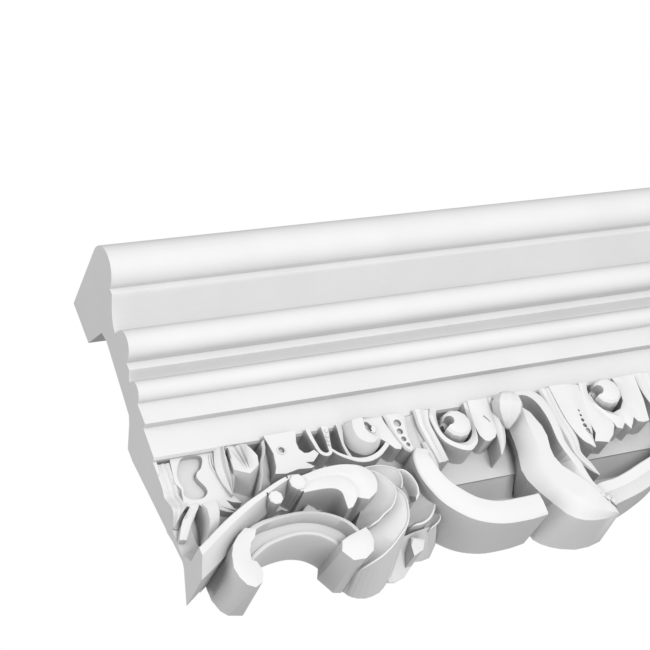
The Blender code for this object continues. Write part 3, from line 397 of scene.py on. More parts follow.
def left_leaves():
    """The leaves, the tulip and the pierced plate from the cartouche to the first curl."""
    ribbon("spear", [
        (48.4, LEAF_TOP, 10, 34), (45.8, 162, 13, 34.3), (44.6, 172, 10, 34.2), (43.2, 184, 0.8, 33)],
        FLUTES)
    tulip = [(49.5, 150.6, 35.4), (49.5, 155.7, 37), (48.5, 164, 37.6), (48.3, 168.5, 37.4),
             (53, 171.4, 37.8), (58, 173.7, 38), (62.6, 171, 38), (66.6, 168, 37.6), (68.3, 161.5, 37.4),
             (66, 155.4, 37.2), (64.4, 151, 36), (61, 149.4, 35), (57, 150.8, 35), (53, 149.4, 35)]
    middle = 58
    veins = ((51.6, 35.6), (53.4, 37.6), (55.4, 36), (57.4, 38.2), (59.4, 36.2), (61.4, 38.2), (63.4, 35.6))
    crests = [[(x, 151.6, out), ((x + middle) / 2 + 0.3, 163, out + 0.4),
               (x * 0.35 + middle * 0.65, 170.6, 38)] for x, out in veins]
    patch("tulip", tulip, crests, lean=(3.2, 8.8), back=ON_GROUND)
    cut("tulip_curl", eased([
        (50.6, 150.6), (48.6, 154), (48.6, 158), (49.8, 160.6), (50.3, 157), (51, 153)], 3, True), 27)
    patch("blade", [
        (76.9, 151, 38), (75.6, 157, 38.2), (73.8, 161.2, 38.2), (69.4, 167.4, 38), (66.5, 176.5, 37.6),
        (61.6, 186.2, 36), (61, 185.8, 34.6), (65.2, 176.2, 35.6), (68, 166.9, 36), (72.4, 160.4, 36.2),
        (74.2, 156.4, 36.2), (75.2, 151.6, 36.2)])
    patch("blade_side", [
        (76.4, 151.4, 35.8), (79.9, 162.4, 27), (78, 172.8, 26), (75.4, 177.9, 26), (68, 184, 26),
        (61.5, 185.9, 33), (65.9, 176.4, 35), (68.8, 167.2, 35.6), (73.2, 160.9, 35.8),
        (74.9, 156.8, 35.8)])
    patch("fan_plate", [
        (77.4, LEAF_TOP, 38.5), (101.4, LEAF_TOP, 38.5), (98.4, 157.4, 38.5), (98.3, 162.4, 38.5),
        (101, 166, 38.5), (104.2, 166.4, 38.5), (109, 164.8, 38.3), (111.4, 168, 38), (107.6, 171.4, 38),
        (105.2, 173.2, 38), (99.4, 172.8, 38.3), (105, 176.6, 37.6), (102, 177.6, 37.8),
        (92.4, 176.9, 38.3), (82.8, 178.7, 38.4), (75, 177.4, 38.2), (77.4, 172.8, 38.5),
        (79.4, 162.4, 38.5)])
    patch("fan_block", level([(97, 156), (102.6, 156.6), (102.4, 163), (104, 167.6), (97, 168)], 30))
    patch("hole_ring", ring(85.5, 161.4, 3.1, 38.9, 16), [closed(ring(85.5, 161.4, 2.7, 39.2, 16))])
    cut("plate_hole", ring(85.5, 161.4, 2.3, 0, 14), 36.6)
    patch("hole_pin", ring(85.7, 161.2, 1.4, 38.2, 10), [ring(85.7, 161.2, 0.8, 38.8, 10)])
    ribbon("loop", [
        (110.9, LEAF_TOP, 3.2, 38), (110.9, 153, 3.0, 38), (111.8, 160.5, 2.6, 38), (113, 166.6, 2.6, 38),
        (116.6, 169.6, 2.6, 38), (120.4, 168.4, 2.4, 38), (121.3, 164, 2.6, 38), (122.2, 158.8, 3.2, 38),
        (123.2, 152.6, 4.6, 38), (123.6, LEAF_TOP, 5, 38)], FLAT)
    for x, drop, radius in ((123.4, 152.4, 1.5), (122.5, 156.4, 1.3), (121.9, 159.8, 1.15),
                            (121.4, 163, 1.0)):
        patch("loop_bead", ring(x, drop, radius, 38.4, 12), [ring(x, drop, radius * 0.6, 39.1, 8)])
    ribbon("stem", [
        (135.6, LEAF_TOP, 5, 37), (135, 152, 4.4, 37.2), (132.7, 160.7, 2.6, 37.6),
        (132.5, 166.4, 2.6, 37.6), (133.7, 173.6, 3.2, 37.6), (135, 177, 2.6, 37.4)],
        ((-1.0, 3.4), (0.3, 1.0), (0.75, 0.0), (1.0, 0.4)))
    ribbon("rim", [
        (121, 165.4, 1.8, 37.8), (124.9, 169.9, 2, 37.8), (128.4, 172.6, 2.4, 37.8),
        (132.8, 175.2, 2.8, 37.8), (139, 177.8, 3.4, 37.8), (146.4, 178.3, 3.8, 37.8),
        (154, 176.2, 3.6, 37.8), (160, 172.6, 3.2, 38), (165, 168.6, 3.4, 38)], FLAT)


def first_curl():
    """The curl whose face swells round its eye, and the shield leaf beside it."""
    wall = eased([
        (138, LEAF_TOP, 33), (136.6, 154, 33), (136.4, 160.7, 33), (137.6, 165.5, 33), (140.6, 169.4, 33.2),
        (146, 172.8, 33.6), (150, 173.2, 34), (154.4, 172, 34.6), (158, 169.5, 36), (160, 166.5, 37.4),
        (161.4, 164, 38.4)], 3)
    top = eased([
        (143.6, 148.8, 41.6), (142, 153, 42.2), (141.2, 157.5, 42.4), (142, 162.8, 42.4),
        (145, 166.3, 42.2), (149, 168.2, 41.8), (153.5, 168.2, 41.2), (157, 166, 40.2),
        (160.8, 163.6, 38.8)], 3)
    inner = eased([
        (151.6, 148.8, 42.2), (150.7, 153.8, 42.4), (150.5, 159, 42.2), (153.4, 162.3, 41.6),
        (156.6, 163, 40.4), (160.8, 162.8, 38.9)], 3)
    sunk = eased([
        (153, 148.8, 40.4), (152, 154, 40), (151.9, 158.4, 39.8), (154.2, 161, 39.6), (157, 161.8, 39.4),
        (160.8, 162, 38.8)], 3)
    patch("first_curl", [tuple(p) for p in wall] + [(161.4, LEAF_TOP, 38.5)], [top, inner, sunk])
    dome("first_swell", 156.2, 157.6, 3.4, 40.8, 1.4, 16)
    cut("first_eye", ring(153.9, 154.6, 2.7, 0, 16, 1.25), 36.2)
    cut("first_slit", [(152.9, 156.6), (154.6, 156.2), (155.4, 159.2), (154.2, 159.8)], 33)
    patch("shield", [
        (160, LEAF_TOP, 38.4), (168.4, LEAF_TOP, 38.3), (168.6, 152, 38.2), (170, 159, 38.2),
        (171.6, 166.5, 38.2), (174, 172.6, 37.8), (172.8, 175.2, 37.4), (168.6, 174.2, 37.6),
        (166, 171.2, 38), (164.2, 168.6, 38.2), (160, 165, 38.4)],
        [[(164.6, 149, 38.8), (166, 160, 38.9), (169.4, 172, 38.2)]])


def round_curl(name, along, drop, radius, front, eye, hole, open_to):
    """A ball-like curl with a deep eye that opens to the left."""
    dome(name, along, drop, radius, front, CURL_FALL, CURL_SIDES)
    cut(name + "_eye", ring(eye[0], eye[1], hole, 0, 10), front - EYE_DEPTH)
    low = eye[1] + hole * 0.9
    cut(name + "_mouth", [(eye[0], eye[1] - hole * 0.5), (eye[0] - 0.6, low), (open_to, drop + 4),
                          (open_to, eye[1] - hole * 0.2)], front - MOUTH_DEPTH)


def middle_leaves():
    """The leaves and curl between the first curl and the great ribbon."""
    ribbon("bead_leaf", [
        (178.8, LEAF_TOP, 16.5, 38.6), (177.6, 160.5, 13, 38.6), (178, 169, 9.8, 38.6), (180, 175, 7, 38),
        (184, 180, 1.2, 37)], ((-1.0, 1.6), (-0.7, 0.3), (0.0, 0.0), (0.7, 0.3), (1.0, 1.8)))
    for x, drop, radius in ((178, 155.6, 2.9), (177, 162.2, 2.4), (177.3, 168.4, 2.0), (179, 173, 1.6)):
        cut("leaf_hole", ring(x, drop, radius, 0, 14), 36)
        patch("leaf_seed", ring(x + 0.2, drop + 0.5, radius * 0.72, 37.6, 12),
              [ring(x + 0.2, drop + 0.5, radius * 0.35, 38.5, 8)])
    ribbon("grey_leaf", [
        (190.5, LEAF_TOP, 12, 35), (189, 161, 12.6, 35), (188.5, 170, 12.4, 35), (190, 178, 9, 34.6)],
        TROUGH)
    ribbon("long_leaf", [
        (201, LEAF_TOP, 12.5, 38.8), (198.4, 159, 10.2, 38.8), (198.6, 168, 10, 38.8),
        (199.4, 177, 10, 38.4), (200.6, 190, 9.6, 37.4)],
        ((-1.0, 1.4), (-0.7, 0.0), (-0.1, 1.5), (0.3, 0.0), (0.8, 0.6), (1.0, 2.2)))
    ribbon("long_tip", [
        (194.8, 172, 6, 36.4), (194.3, 186, 6, 36.6), (193, 195.4, 4.4, 36)],
        ((-1.0, 2.0), (-0.4, 0.0), (0.5, 0.6), (1.0, 2.4)))
    bowl = [(207.4, LEAF_TOP, 38.6), (203.8, 155, 39), (203.4, 162.6, 39.4), (204, 170, 39.6),
            (206.4, 176, 39.6), (210.6, 180.4, 39.4), (217.4, 184.6, 39), (224.2, 186, 38.6),
            (229, 183.4, 38.8), (232, 180.6, 39), (234, 175.6, 39.2), (235, 168, 39.4), (236.4, 158, 39.4),
            (238.4, LEAF_TOP, 39)]
    inner = [(235.6, LEAF_TOP, 38), (233.4, 160, 38), (232.8, 168.6, 38.2), (229.4, 175.4, 38.4),
             (222.8, 179.2, 38.4), (214.6, 177.6, 38.6), (209.4, 172, 38.6), (208, 165, 38.6),
             (209.4, 156, 38.4), (213, LEAF_TOP, 38)]
    crest = [(206.4, 152, 40), (205.6, 162, 40.8), (206.4, 170, 40.8), (210.6, 176.6, 40.6),
             (217.6, 181.2, 40.2), (224, 182.4, 39.8), (230.6, 178.8, 40), (234.2, 170, 40),
             (235.8, 156, 40)]
    patch("rosette", eased(bowl, 2) + eased(inner, 3), [eased(crest, 3)])
    round_curl("second_curl", 220.8, 165.2, 11.6, 44.4, (214.6, 162.8), 3.7, 209.2)
    patch("split_leaf", [
        (238, LEAF_TOP, 40), (236.4, 158, 39.6), (235.2, 168, 39), (236, 176, 38.6), (238.8, 180.4, 38.2),
        (242, 181.4, 38), (247.4, 179.4, 38.4), (251.4, 174.6, 39), (251.6, 166, 39.6),
        (254, LEAF_TOP, 40.4)],
        [[(242.4, 149, 41.2), (241, 162, 41), (242.4, 172, 40.4), (242.6, 180, 38.8)],
        [(248.6, 149, 40.8), (247, 162, 41.2), (249, 171, 40.4), (250, 175, 39.4)]])
    cut("split_slit", [(243.5, 162.8), (244.9, 162.3), (247.6, 166.9), (247.5, 168.6)], 40.1)
    ribbon("hook", [
        (256.6, LEAF_TOP, 8, 40.6), (255, 165, 10, 40.6), (253.6, 176, 8, 40.2), (250.6, 185, 5, 39.6),
        (246, 193.6, 0.8, 38.6)], ((-1.0, 2.6), (-0.2, 0.0), (0.4, 1.4), (0.8, 0.6), (1.0, 1.8)))


def right_leaves():
    """The leaves and curls to the right of the great ribbon, and those that end the length."""
    ribbon("finger", [
        (305, LEAF_TOP, 10, 40.2), (305, 172, 10.6, 40.2), (307, 190, 11, 40), (306.6, 203, 8, 39),
        (312, 214, 6, 38), (316.4, 222, 0.9, 36.6)],
        ((-1.0, 2.0), (-0.6, 0.2), (-0.12, 1.2), (0.1, 0.0), (0.7, 0.5), (1.0, 2.0)))
    ribbon("bead_spear", [
        (322, LEAF_TOP, 26, 40.8), (319.5, 171, 20, 40.8), (320, 183, 17, 40.4), (320.8, 191, 12, 39.8),
        (322.4, 197, 5, 39), (324, 200.6, 0.9, 37.6)],
        ((-1.0, 1.8), (-0.5, 0.6), (-0.2, 0.0), (0.3, 0.2), (0.75, 1.2), (1.0, 1.4)))
    for x, drop, radius in ((323, 171, 0.9), (322.6, 175, 1.1), (322.2, 179, 1.5), (322, 183.5, 1.8),
                            (323, 187.6, 2.1), (324.4, 191.3, 2.3)):
        cut("spear_hole", ring(x, drop, radius, 0, 12), 37.4)
        patch("spear_seed", ring(x + 0.2, drop + 0.4, radius * 0.6, 38.6, 10),
              [ring(x + 0.2, drop + 0.4, radius * 0.3, 39.4, 8)])
    patch("wide_leaf", [
        (335, LEAF_TOP, 39.6), (342, LEAF_TOP, 39.6), (339.4, 154.5, 39.6), (337.6, 162.5, 39.4),
        (339.6, 170, 39.2), (344, 177.4, 38.8), (347.4, 182, 38.4), (347.8, 186.6, 38.2),
        (343.4, 193.4, 37.6), (337, 198.4, 37), (331, 197, 37.4), (325.6, 196, 37.6), (329, 190, 38.6),
        (328, 180, 38.8), (328.6, 171, 38.8), (332, 160, 39)],
        [[(337, 149, 40.6), (334.6, 160, 40.4), (333, 172, 40.2), (336, 185, 39.4), (336.4, 197, 37.6)],
        [(341, 176, 39.8), (343.6, 184, 39.2), (340.6, 193, 38.2)]])
    round_curl("third_curl", 353.4, 160.2, 11.8, 45, (345, 158.8), 4, 341.2)
    left = eased([
        (337.6, 160, 38.6), (338.2, 168, 39), (342, 176.4, 39), (347, 182.6, 38.6), (349.4, 188.6, 38)], 2)
    lobes = [(353.8, 190.2, 37.6), (357.4, 186.2, 38.4), (361.2, 191.4, 37.4), (364.6, 187, 38.2),
             (367, 183, 38.8), (369.6, 186.6, 38), (374, 188, 37.6), (379.6, 187.4, 37.6),
             (383.6, 170, 38.4), (386, LEAF_TOP, 38.8), (366, LEAF_TOP, 38.6), (367.6, 158, 38.4),
             (365.6, 168, 38.4), (360, 174.4, 38.4), (352, 176.6, 38.4), (344.6, 172, 38.4),
             (341.4, 165, 38.4), (340.8, 158, 38.2)]
    patch("lobed_leaf", left + lobes, [[
        (340, 168, 40), (346.4, 177.4, 40.4), (353.4, 181, 40.4), (353.8, 189, 38.4)],
        [(357.4, 178, 38.6), (357.4, 185.6, 38.6)], [(363, 176, 40.2), (361.4, 190, 38.2)],
        [(367.4, 170, 38.6), (367.2, 182, 38.8)], [(373, 150, 40), (372, 168, 40.2), (373.6, 187, 38.4)],
        [(378.6, 150, 38.4), (377.6, 186, 38)]])
    ribbon("end_bead_leaf", [
        (396, LEAF_TOP, 17, 38.6), (394, 162, 14, 38.6), (395, 174, 10, 38.2), (399, 185, 1, 37)],
        ((-1.0, 1.8), (-0.4, 0.2), (0.0, 0.9), (0.4, 0.2), (1.0, 1.8)))
    ribbon("end_long_leaf", [
        (413, LEAF_TOP, 12, 38.2), (410, 163, 11, 38.2), (411, 178, 9, 37.8), (414, 192, 1, 37)])
    patch("end_bowl", eased(ring(436, 165.6, 18.6, 38, 12, 1.0, -20, 220),
                            2) + eased(ring(436, 165.6, 13.4, 38, 12, 1.0, 200, -220), 2),
          [ring(436, 165.6, 16, 39.6, 12, 1.0, -14, 208)])
    round_curl("end_curl", 437, 165, 11.4, 43.6, (431.4, 163), 3.8, 424)
    ribbon("last_leaf", [
        (464, LEAF_TOP, 16, 38), (461, 164, 14, 38), (463, 178, 10, 37.6), (468, 192, 1, 36.6)], FLUTES)


def scroll():
    """The strip leaf, the C-scroll with its lip, foot and knob, and the two pegs."""
    ribbon("strip_leaf", [
        (-9, 236.6, 13.8, 48.4), (7.5, 227, 14, 48.8), (27, 214.4, 14, 47.2), (45.6, 203.4, 12.4, 45.8),
        (58.9, 196.6, 10.6, 45), (71.3, 190.4, 9, 44.6), (81, 186.8, 7.4, 44.6), (88, 185.6, 4, 44.6)],
        STRIP)
    ribbon("scroll", [
        (33.4, 239, 13, 42), (32.6, 233, 14, 44.6), (35.4, 226.6, 15, 45.8), (43, 221.6, 15.4, 46),
        (51, 218.4, 14.4, 46), (60, 216.8, 13.2, 46), (68, 216, 12.4, 46), (77, 215.8, 12, 46),
        (85, 217, 12, 46), (92.6, 219.6, 12.4, 46), (99, 223.6, 13.4, 46), (104, 228.4, 14.6, 46),
        (107, 235, 15.6, 46)], LIP)
    foot = [(43, 217, 45.8), (36.5, 214.4, 44.6), (29.8, 218.8, 45), (24, 224.7, 45.4), (20.8, 231.2, 45.4),
            (18.9, 240.1, 45), (20.5, 246.9, 44.6), (23.8, 252.5, 44), (29.1, 255.1, 43.4),
            (35.1, 252.1, 42.4), (37.8, 246.9, 42), (38.5, 243.5, 42), (36.4, 238, 43), (32.8, 236.6, 44),
            (33.8, 230.3, 44.8), (36.2, 225.7, 45.4), (40, 222.4, 45.8)]
    under = [(41, 217), (30, 218), (22, 222), (18, 226), (17.3, 229.8), (17.6, 238.6), (20.8, 247.3),
             (24.9, 251.5), (34.7, 253.7), (38.6, 250), (39.6, 246), (39, 243.4), (37, 238.6), (35, 236),
             (36, 231), (38, 227), (41, 223)]
    patch("scroll_foot", foot, [[
        (38, 218.6, 46.2), (29.4, 224.6, 46), (25.6, 232, 46), (25.4, 240, 45.8), (28, 247.4, 45),
        (31.6, 250.6, 44.1)]], feet=under)
    knob = [(97.9, 236.5, 45), (104.1, 234.1, 45.6), (112.4, 232, 46), (117.5, 230.8, 46),
            (119.1, 235.6, 46), (119.1, 240.8, 46), (116.1, 247.7, 45.8), (109.1, 251.8, 45),
            (100.5, 251.1, 44.4), (95, 243.4, 44.6)]
    held = [(99.4, 230), (106, 228), (113, 227), (118, 228), (119, 234), (118, 242), (114, 249),
            (107.2, 252.8), (101.7, 251.6), (94.6, 239.6)]
    patch("scroll_knob", knob, [[
        (101.6, 238.6, 46.6), (108, 236.4, 47.4), (114.6, 236, 47.4), (115.6, 241, 47.6), (112, 246.6, 47),
        (104, 247.4, 46.2), (100, 243, 46), (101.6, 238.6, 46.6)]], feet=held)
    for x, drop, radius, front in ((64.8, 197.8, 5.1, 46.3), (84.1, 189.7, 6.0, 46.5)):
        flat = ring(x, drop, radius * 0.84, front, PEG_SIDES, 1.0, PEG_TILT)
        patch("peg", ring(x, drop, radius, front - 0.7, PEG_SIDES, 1.0, PEG_TILT), [closed(flat)])
    cut("near_notch", [(59.8, 193), (61, 192.6), (61, 194.6), (60, 195)], 40)
    cut("far_notch", [(77.8, 183.4), (79.2, 183), (79.2, 185.2), (78, 185.6)], 40)
    cut("peg_crease", [
        (71, 197.5), (75, 195.6), (79, 194.9), (80.8, 196.3), (84, 196.7), (86, 196.5), (85, 200),
        (80, 202), (71, 202)], 13.5)
    patch("peg_leaf", [
        (84, 209.4, 30), (87.4, 203.8, 31.8), (91.4, 200.8, 33), (94.8, 203.4, 32.6), (98, 207.4, 31.6),
        (101, 212, 31), (101, 215, 31), (84, 214, 30)], [[(91.4, 201.4, 33.6), (92, 210, 36)]])


def shell():
    """The crest leaf and the overlapping petals that fan out below it."""
    crest = [tuple(p) for p in eased([
        (79, 189, 45), (84, 186.6, 45.4), (92, 185.2, 45.8), (102.2, 183.4, 46), (111.4, 182.8, 46),
        (119, 183, 46), (126.3, 184.2, 45.8), (132, 186, 45.6), (137.4, 189.8, 45.2), (140, 194.6, 45),
        (139.8, 200, 45), (138, 204.4, 45)], 3)]
    crest += [(136.2, 207, 45.2), (132.5, 209.2, 45.4), (128.6, 211.2, 45.4), (124.3, 209.9, 45.6),
              (122, 207.6, 44), (119.6, 210.4, 43.4), (116.4, 213.4, 43), (113, 213.8, 42)]
    crest += [tuple(p) for p in eased([
        (112, 206, 45), (111.6, 202.6, 45.4), (109, 199.9, 45.6), (104.6, 198.5, 45.6), (99.3, 197.8, 45.4),
        (92.2, 197.7, 45.2), (85, 197.8, 45)], 3)]
    groove = eased([
        (92, 190.6, 45.2), (100, 189.4, 45.2), (110, 189.4, 45.2), (118.3, 191.6, 45.1), (123, 196.6, 45),
        (124, 201.4, 44.9), (123.2, 206.4, 44.6)], 3)
    outer = inset(groove, -2.0, -1.1)
    inner = inset(groove, 2.4, -0.7)
    lobe = [(132, 190, 46.8), (134.6, 197, 46.8), (131.6, 204.4, 46.6), (126.6, 207.6, 46)]
    fold = [(116.6, 199, 46.2), (117.6, 204, 44.6), (116.6, 210, 43.4)]
    patch("crest", crest, [groove, outer, inner, lobe, fold], lean=(1.0, 4.0))
    petal("petal_1", [
        (137, 188.6, 43), (141.4, 191.5, 45), (144.4, 195.2, 46), (148.9, 200.7, 46), (150.6, 205.7, 46),
        (150.1, 210.3, 46), (146.8, 215.9, 46), (141.5, 221, 46), (134.7, 224.3, 45.6), (129.3, 227.8, 45),
        (120.2, 230.6, 44)],
        [(128, 190, 38), (133, 200, 36), (130, 208, 33), (126, 214, 30), (122, 219, 29), (118, 225, 33)],
        0.6)
    petal("petal_2", [
        (144, 193.6, 42.4), (148.5, 198.8, 44), (151.8, 205, 45), (155, 210.2, 45.5), (156, 215, 45.5),
        (154.8, 221, 45.5), (152.3, 228.2, 45.5), (147.8, 235, 45.5), (141.7, 239.9, 45.5),
        (136.1, 244, 45.5), (129.4, 248.6, 45.5), (121.4, 252.6, 44.6), (113.4, 254.6, 41),
        (107.4, 254.4, 33)],
        [(134, 198, 36), (141, 208, 38), (137, 217, 37.4), (128, 224, 37), (119, 230, 37), (117, 238, 36.6),
        (112, 246, 34), (107.6, 251, 27)], 1.2,
        base=[(146, 198), (150, 206), (153, 214), (155, 222), (155.6, 229), (155, 236), (152, 242),
        (149, 248), (146, 252), (142.4, 253.4), (134.6, 258.7), (122.9, 260.7), (114, 257.8),
        (110.6, 254.6)])
    petal("petal_3", [
        (134, 183.6, 36.5), (142, 184, 38.5), (150, 185.3, 40.4), (156.6, 188.1, 41), (160.8, 190.4, 41),
        (162.3, 195.4, 41), (160.8, 202.2, 40.6), (156.1, 208.5, 40)],
        [(134, 190, 33), (144, 198, 33), (148, 205, 33), (151, 212, 34)], 2.0)
    petal("petal_4", [
        (157, 187.8, 36), (163.9, 190.4, 39.4), (167.6, 192.7, 40), (170.3, 197.2, 40), (171.4, 202.1, 40),
        (171.4, 206.5, 40), (169.4, 212.2, 40), (165.4, 215.8, 39)],
        [(157, 192, 30), (162, 200, 28), (161, 209, 28), (160.4, 216.4, 31)], 2.4, 1.3)
    petal("petal_5", [
        (170, 198.4, 32), (176.3, 200.8, 34.4), (179.9, 204, 35), (182.1, 209.1, 35), (182.5, 214, 35),
        (181.1, 219.9, 35), (177, 225.4, 35), (171.8, 229.4, 35), (165.6, 231.4, 34.6), (157.6, 231, 33.4)],
        [(168, 201, 27), (163, 209, 24), (160, 218, 24), (156.6, 228, 26)], 1.6, 1.3)
    petal("petal_6", [
        (178, 210, 26), (183, 214.6, 29), (184.8, 219, 30), (185, 224, 30), (183.4, 228.4, 30),
        (179, 231.4, 29), (173, 233.4, 27)], [(177, 214, 23), (177, 221, 23), (172, 230, 23)], 1.2)
    patch("petal_block", [
        (157.2, 236.2, 28), (166.4, 239.8, 28), (164.4, 245, 24), (157, 247.4, 22.4), (156.2, 241, 25.6)],
        [[(158, 238, 28.4), (165, 240.8, 28.4)]])
    patch("shell_foot", [
        (142, 252, 4), (143.4, 253.2, 1), (147.6, 254, 1), (156.7, 251.4, 1), (164, 245.8, 1),
        (169, 242.2, 1), (174, 242.6, 1), (181, 241.6, 1), (189.7, 233, 1), (185.4, 228, 16),
        (182, 229.6, 24), (172, 231.6, 28), (160, 233.4, 29), (149, 235, 27), (144.4, 246, 11)])


def swags():
    """The swags either side of the great ribbon, and the slopes of ground behind them."""
    ribbon("left_swag", [
        (185.4, 180, 9, 42.6), (181.8, 187, 12, 44.3), (181.6, 197.6, 14.4, 45), (184.5, 208, 15.4, 45),
        (190.6, 219, 17, 45), (204, 231.6, 17, 45), (221, 238, 16.6, 45), (240, 238.7, 16.8, 44.6),
        (250, 238.2, 16.4, 44.2), (256.6, 237.6, 16, 43.8)], SWAG)
    ribbon("right_swag", [
        (304, 238.6, 17, 37), (313.5, 237.6, 18, 39.6), (326, 236, 16.4, 40.4), (340, 232.8, 16.8, 40.6),
        (353, 228.6, 16.8, 40.6), (370, 222.5, 15.6, 40.6), (385, 214.5, 15, 40.4), (400, 205, 14, 40.2),
        (413, 194, 12.5, 40), (421, 184, 11, 39.6)],
        ((-1.0, 0.9), (-0.9, 0.0), (0.0, 0.0), (0.06, 0.8), (0.9, 5.2), (1.0, 6.0)))
    for side, start, end in (("left", 196, 263), ("right", 300, 404)):
        patch(side + "_window_slope", [
            (start, 198, 19.6), (end, 198, 19.6), (end, 201.2, 18.6), (end, 211, 2), (start, 211, 2),
            (start, 201.2, 18.6)], [[(start, 201.2, 18.6), (end, 201.2, 18.6)]])


def great_ribbon():
    """The two strands that fall from the bud and turn over below."""
    left = [(265.6, 168.6, 33.2), (264.8, 174.6, 33.2), (264.4, 181.8, 33), (263.2, 190.6, 33),
            (261, 198.2, 33.4), (258.8, 205.6, 33.6), (259.4, 214.2, 34), (263, 223.6, 34.6),
            (269.8, 235.6, 35), (275.8, 245.4, 35.4), (281, 250.4, 36), (287.8, 253.2, 35.6),
            (295.4, 254.6, 35.2), (303.4, 255, 35.2), (311, 254.6, 35.4), (317, 253.6, 35.6)]
    turn = [(275.6, 165, 43.6), (273.6, 174, 44.8), (273.4, 184, 45), (272.4, 194, 45), (270.6, 203, 45),
            (270.4, 210, 45), (271.6, 219, 45), (275.4, 228, 44.8), (282, 236, 44.6), (289, 242, 43.6),
            (295, 246, 42.8), (301, 248.8, 41.8), (307, 250.8, 40.6), (312.6, 252, 39)]
    right = [(276, 160.4, 42.4), (281, 167, 43), (284.6, 179.5, 43.4), (284.8, 188, 43.6),
             (282.2, 198, 43.8), (281.8, 205, 44), (284.6, 213, 44), (292, 221, 43.6), (299.6, 230, 43),
             (305, 238.4, 42), (309, 244, 40.8), (313.4, 249.6, 39.4), (317, 253.4, 37)]
    outline = left + right[::-1][1:] + [(268, 158, 38.6)]
    feet = [(278, 168), (279, 176), (278, 184), (275, 192), (269.6, 200), (266, 207), (264.6, 216),
            (264, 225), (263.6, 238), (265.4, 244.6), (269.4, 248.6), (276, 252.6), (284, 255.8),
            (295, 258.6), (307, 258.6), (318, 256.4)]
    feet += [(318, 252), (315, 247), (311, 241), (307, 233), (300, 224), (294, 216), (290, 208), (289, 200),
             (289, 190), (289, 180), (288, 168), (286, 161), (281, 158)]
    pairs = list(zip(np.array(left[1:15], dtype=float), np.array(turn)))
    between = [[a + (b - a) * share + np.array([0, 0, rise]) for a, b in pairs]
               for share, rise in ((0.3, 0.2), (0.66, 0.9))]
    patch("front_strand", outline, between + [turn], feet=feet)
    edge = [(272, LEAF_TOP, 41), (284, LEAF_TOP, 41.6), (291, 149.8, 41.8), (295.4, 152.8, 41.8),
            (298.8, 159.4, 41.8), (299.8, 168.6, 41.8), (300.1, 178.1, 41.8), (299.2, 186.4, 41.8),
            (298.4, 193, 41.8), (299.5, 202.5, 41.8), (302.3, 210.5, 41.8), (303.2, 219, 41.6),
            (304.4, 227.4, 41.4), (307.4, 234.5, 41), (310, 239.6, 40.4), (313, 243.8, 39.8),
            (316.8, 248.8, 38.6)]
    crest = [(275, 151.6, 41.6), (281.6, 151.8, 42.2), (287.2, 154.6, 42.3), (290.8, 160.6, 42.3),
             (292.6, 168.2, 42.3), (293.4, 176.8, 42.3), (292.8, 185.2, 42.3), (292.4, 191.9, 42.3),
             (293.4, 200.4, 42.2), (295.7, 209.2, 42.1), (298, 219.6, 42), (302.3, 230.4, 41.6)]
    floor = [(273, 153.6, 21), (280.6, 153.8, 21), (286, 156.8, 21), (289.6, 162.4, 21),
             (291.4, 169.6, 21.4), (292, 177.6, 21.6), (291, 185.6, 22.4), (289.8, 192.6, 24),
             (288.8, 201, 28), (288.8, 210.6, 33.4), (291, 221.4, 37.8), (297, 232.4, 40.6)]
    hidden = [(300, 240, 41), (292, 230, 39), (285, 219, 34), (282, 208, 28), (281, 198, 23),
              (282, 188, 21), (282, 178, 21), (280, 168, 21), (276, 160, 21), (268, 154, 21)]
    lip = eased(edge, 2)
    patch("rear_strand", lip + hidden, [eased(crest, 2), eased(floor, 2), inset(lip, 1.4, -0.5)[2:-2]])
    for k, (x, drop) in enumerate(((305.6, 238.4), (308.4, 241.6), (311.4, 244.6))):
        patch("ribbon_rag_%d" % k, [(x, drop, 41), (x + 2.6, drop - 0.6, 42.2), (x + 3.6, drop + 2.2, 41),
                                    (x + 1.2, drop + 3.2, 42)])


def bud():
    """The tapered bud that the great ribbon hangs from."""
    start, end = spot(264.4, 160.4, 43.6), spot(260.4, 175, 37.4)
    axis = end - start
    wide, narrow = 11.7 * MM, 4.4 * MM
    bm = bmesh.new()
    bmesh.ops.create_uvsphere(bm, u_segments=8, v_segments=7, radius=1.0)
    turn = axis.to_track_quat("Z", "Y").to_matrix().to_4x4()
    for vert in bm.verts:
        share = max(vert.co.z, 0.0)
        girth = wide + (narrow - wide) * share ** 1.4
        rise = share * axis.length if share > 0 else vert.co.z * wide
        vert.co = Vector((vert.co.x * girth, vert.co.y * girth, rise))
    bmesh.ops.transform(bm, matrix=Matrix.Translation(start) @ turn, verts=bm.verts)
    keep(bm, "bud", unions)


def back_web():
    """The low web that closes the gaps between the hanging ornaments."""
    patch("web", level([
        (-PAST, 190), (-PAST, 230), (18, 222), (30, 228), (41, 220), (56, 215), (76, 214), (90, 216),
        (103, 222), (110, 232), (118, 245), (135, 245), (150, 240), (170, 236), (188, 230), (203, 236),
        (218, 239), (240, 240), (262, 240), (285, 248), (305, 250), (318, 246), (335, 235), (353, 229),
        (370, 222), (385, 214), (400, 205), (413, 194), (421, 190)], 3.0))


def block_cut(name, low, high):
    """A box cutter between two corners given as along, drop and out."""
    bm = bmesh.new()
    bmesh.ops.create_cube(bm, size=1.0)
    for vert in bm.verts:
        pick = [high[k] if vert.co[k] > 0 else low[k] for k in range(3)]
        vert.co = spot(*pick)
    keep(bm, name, cuts)


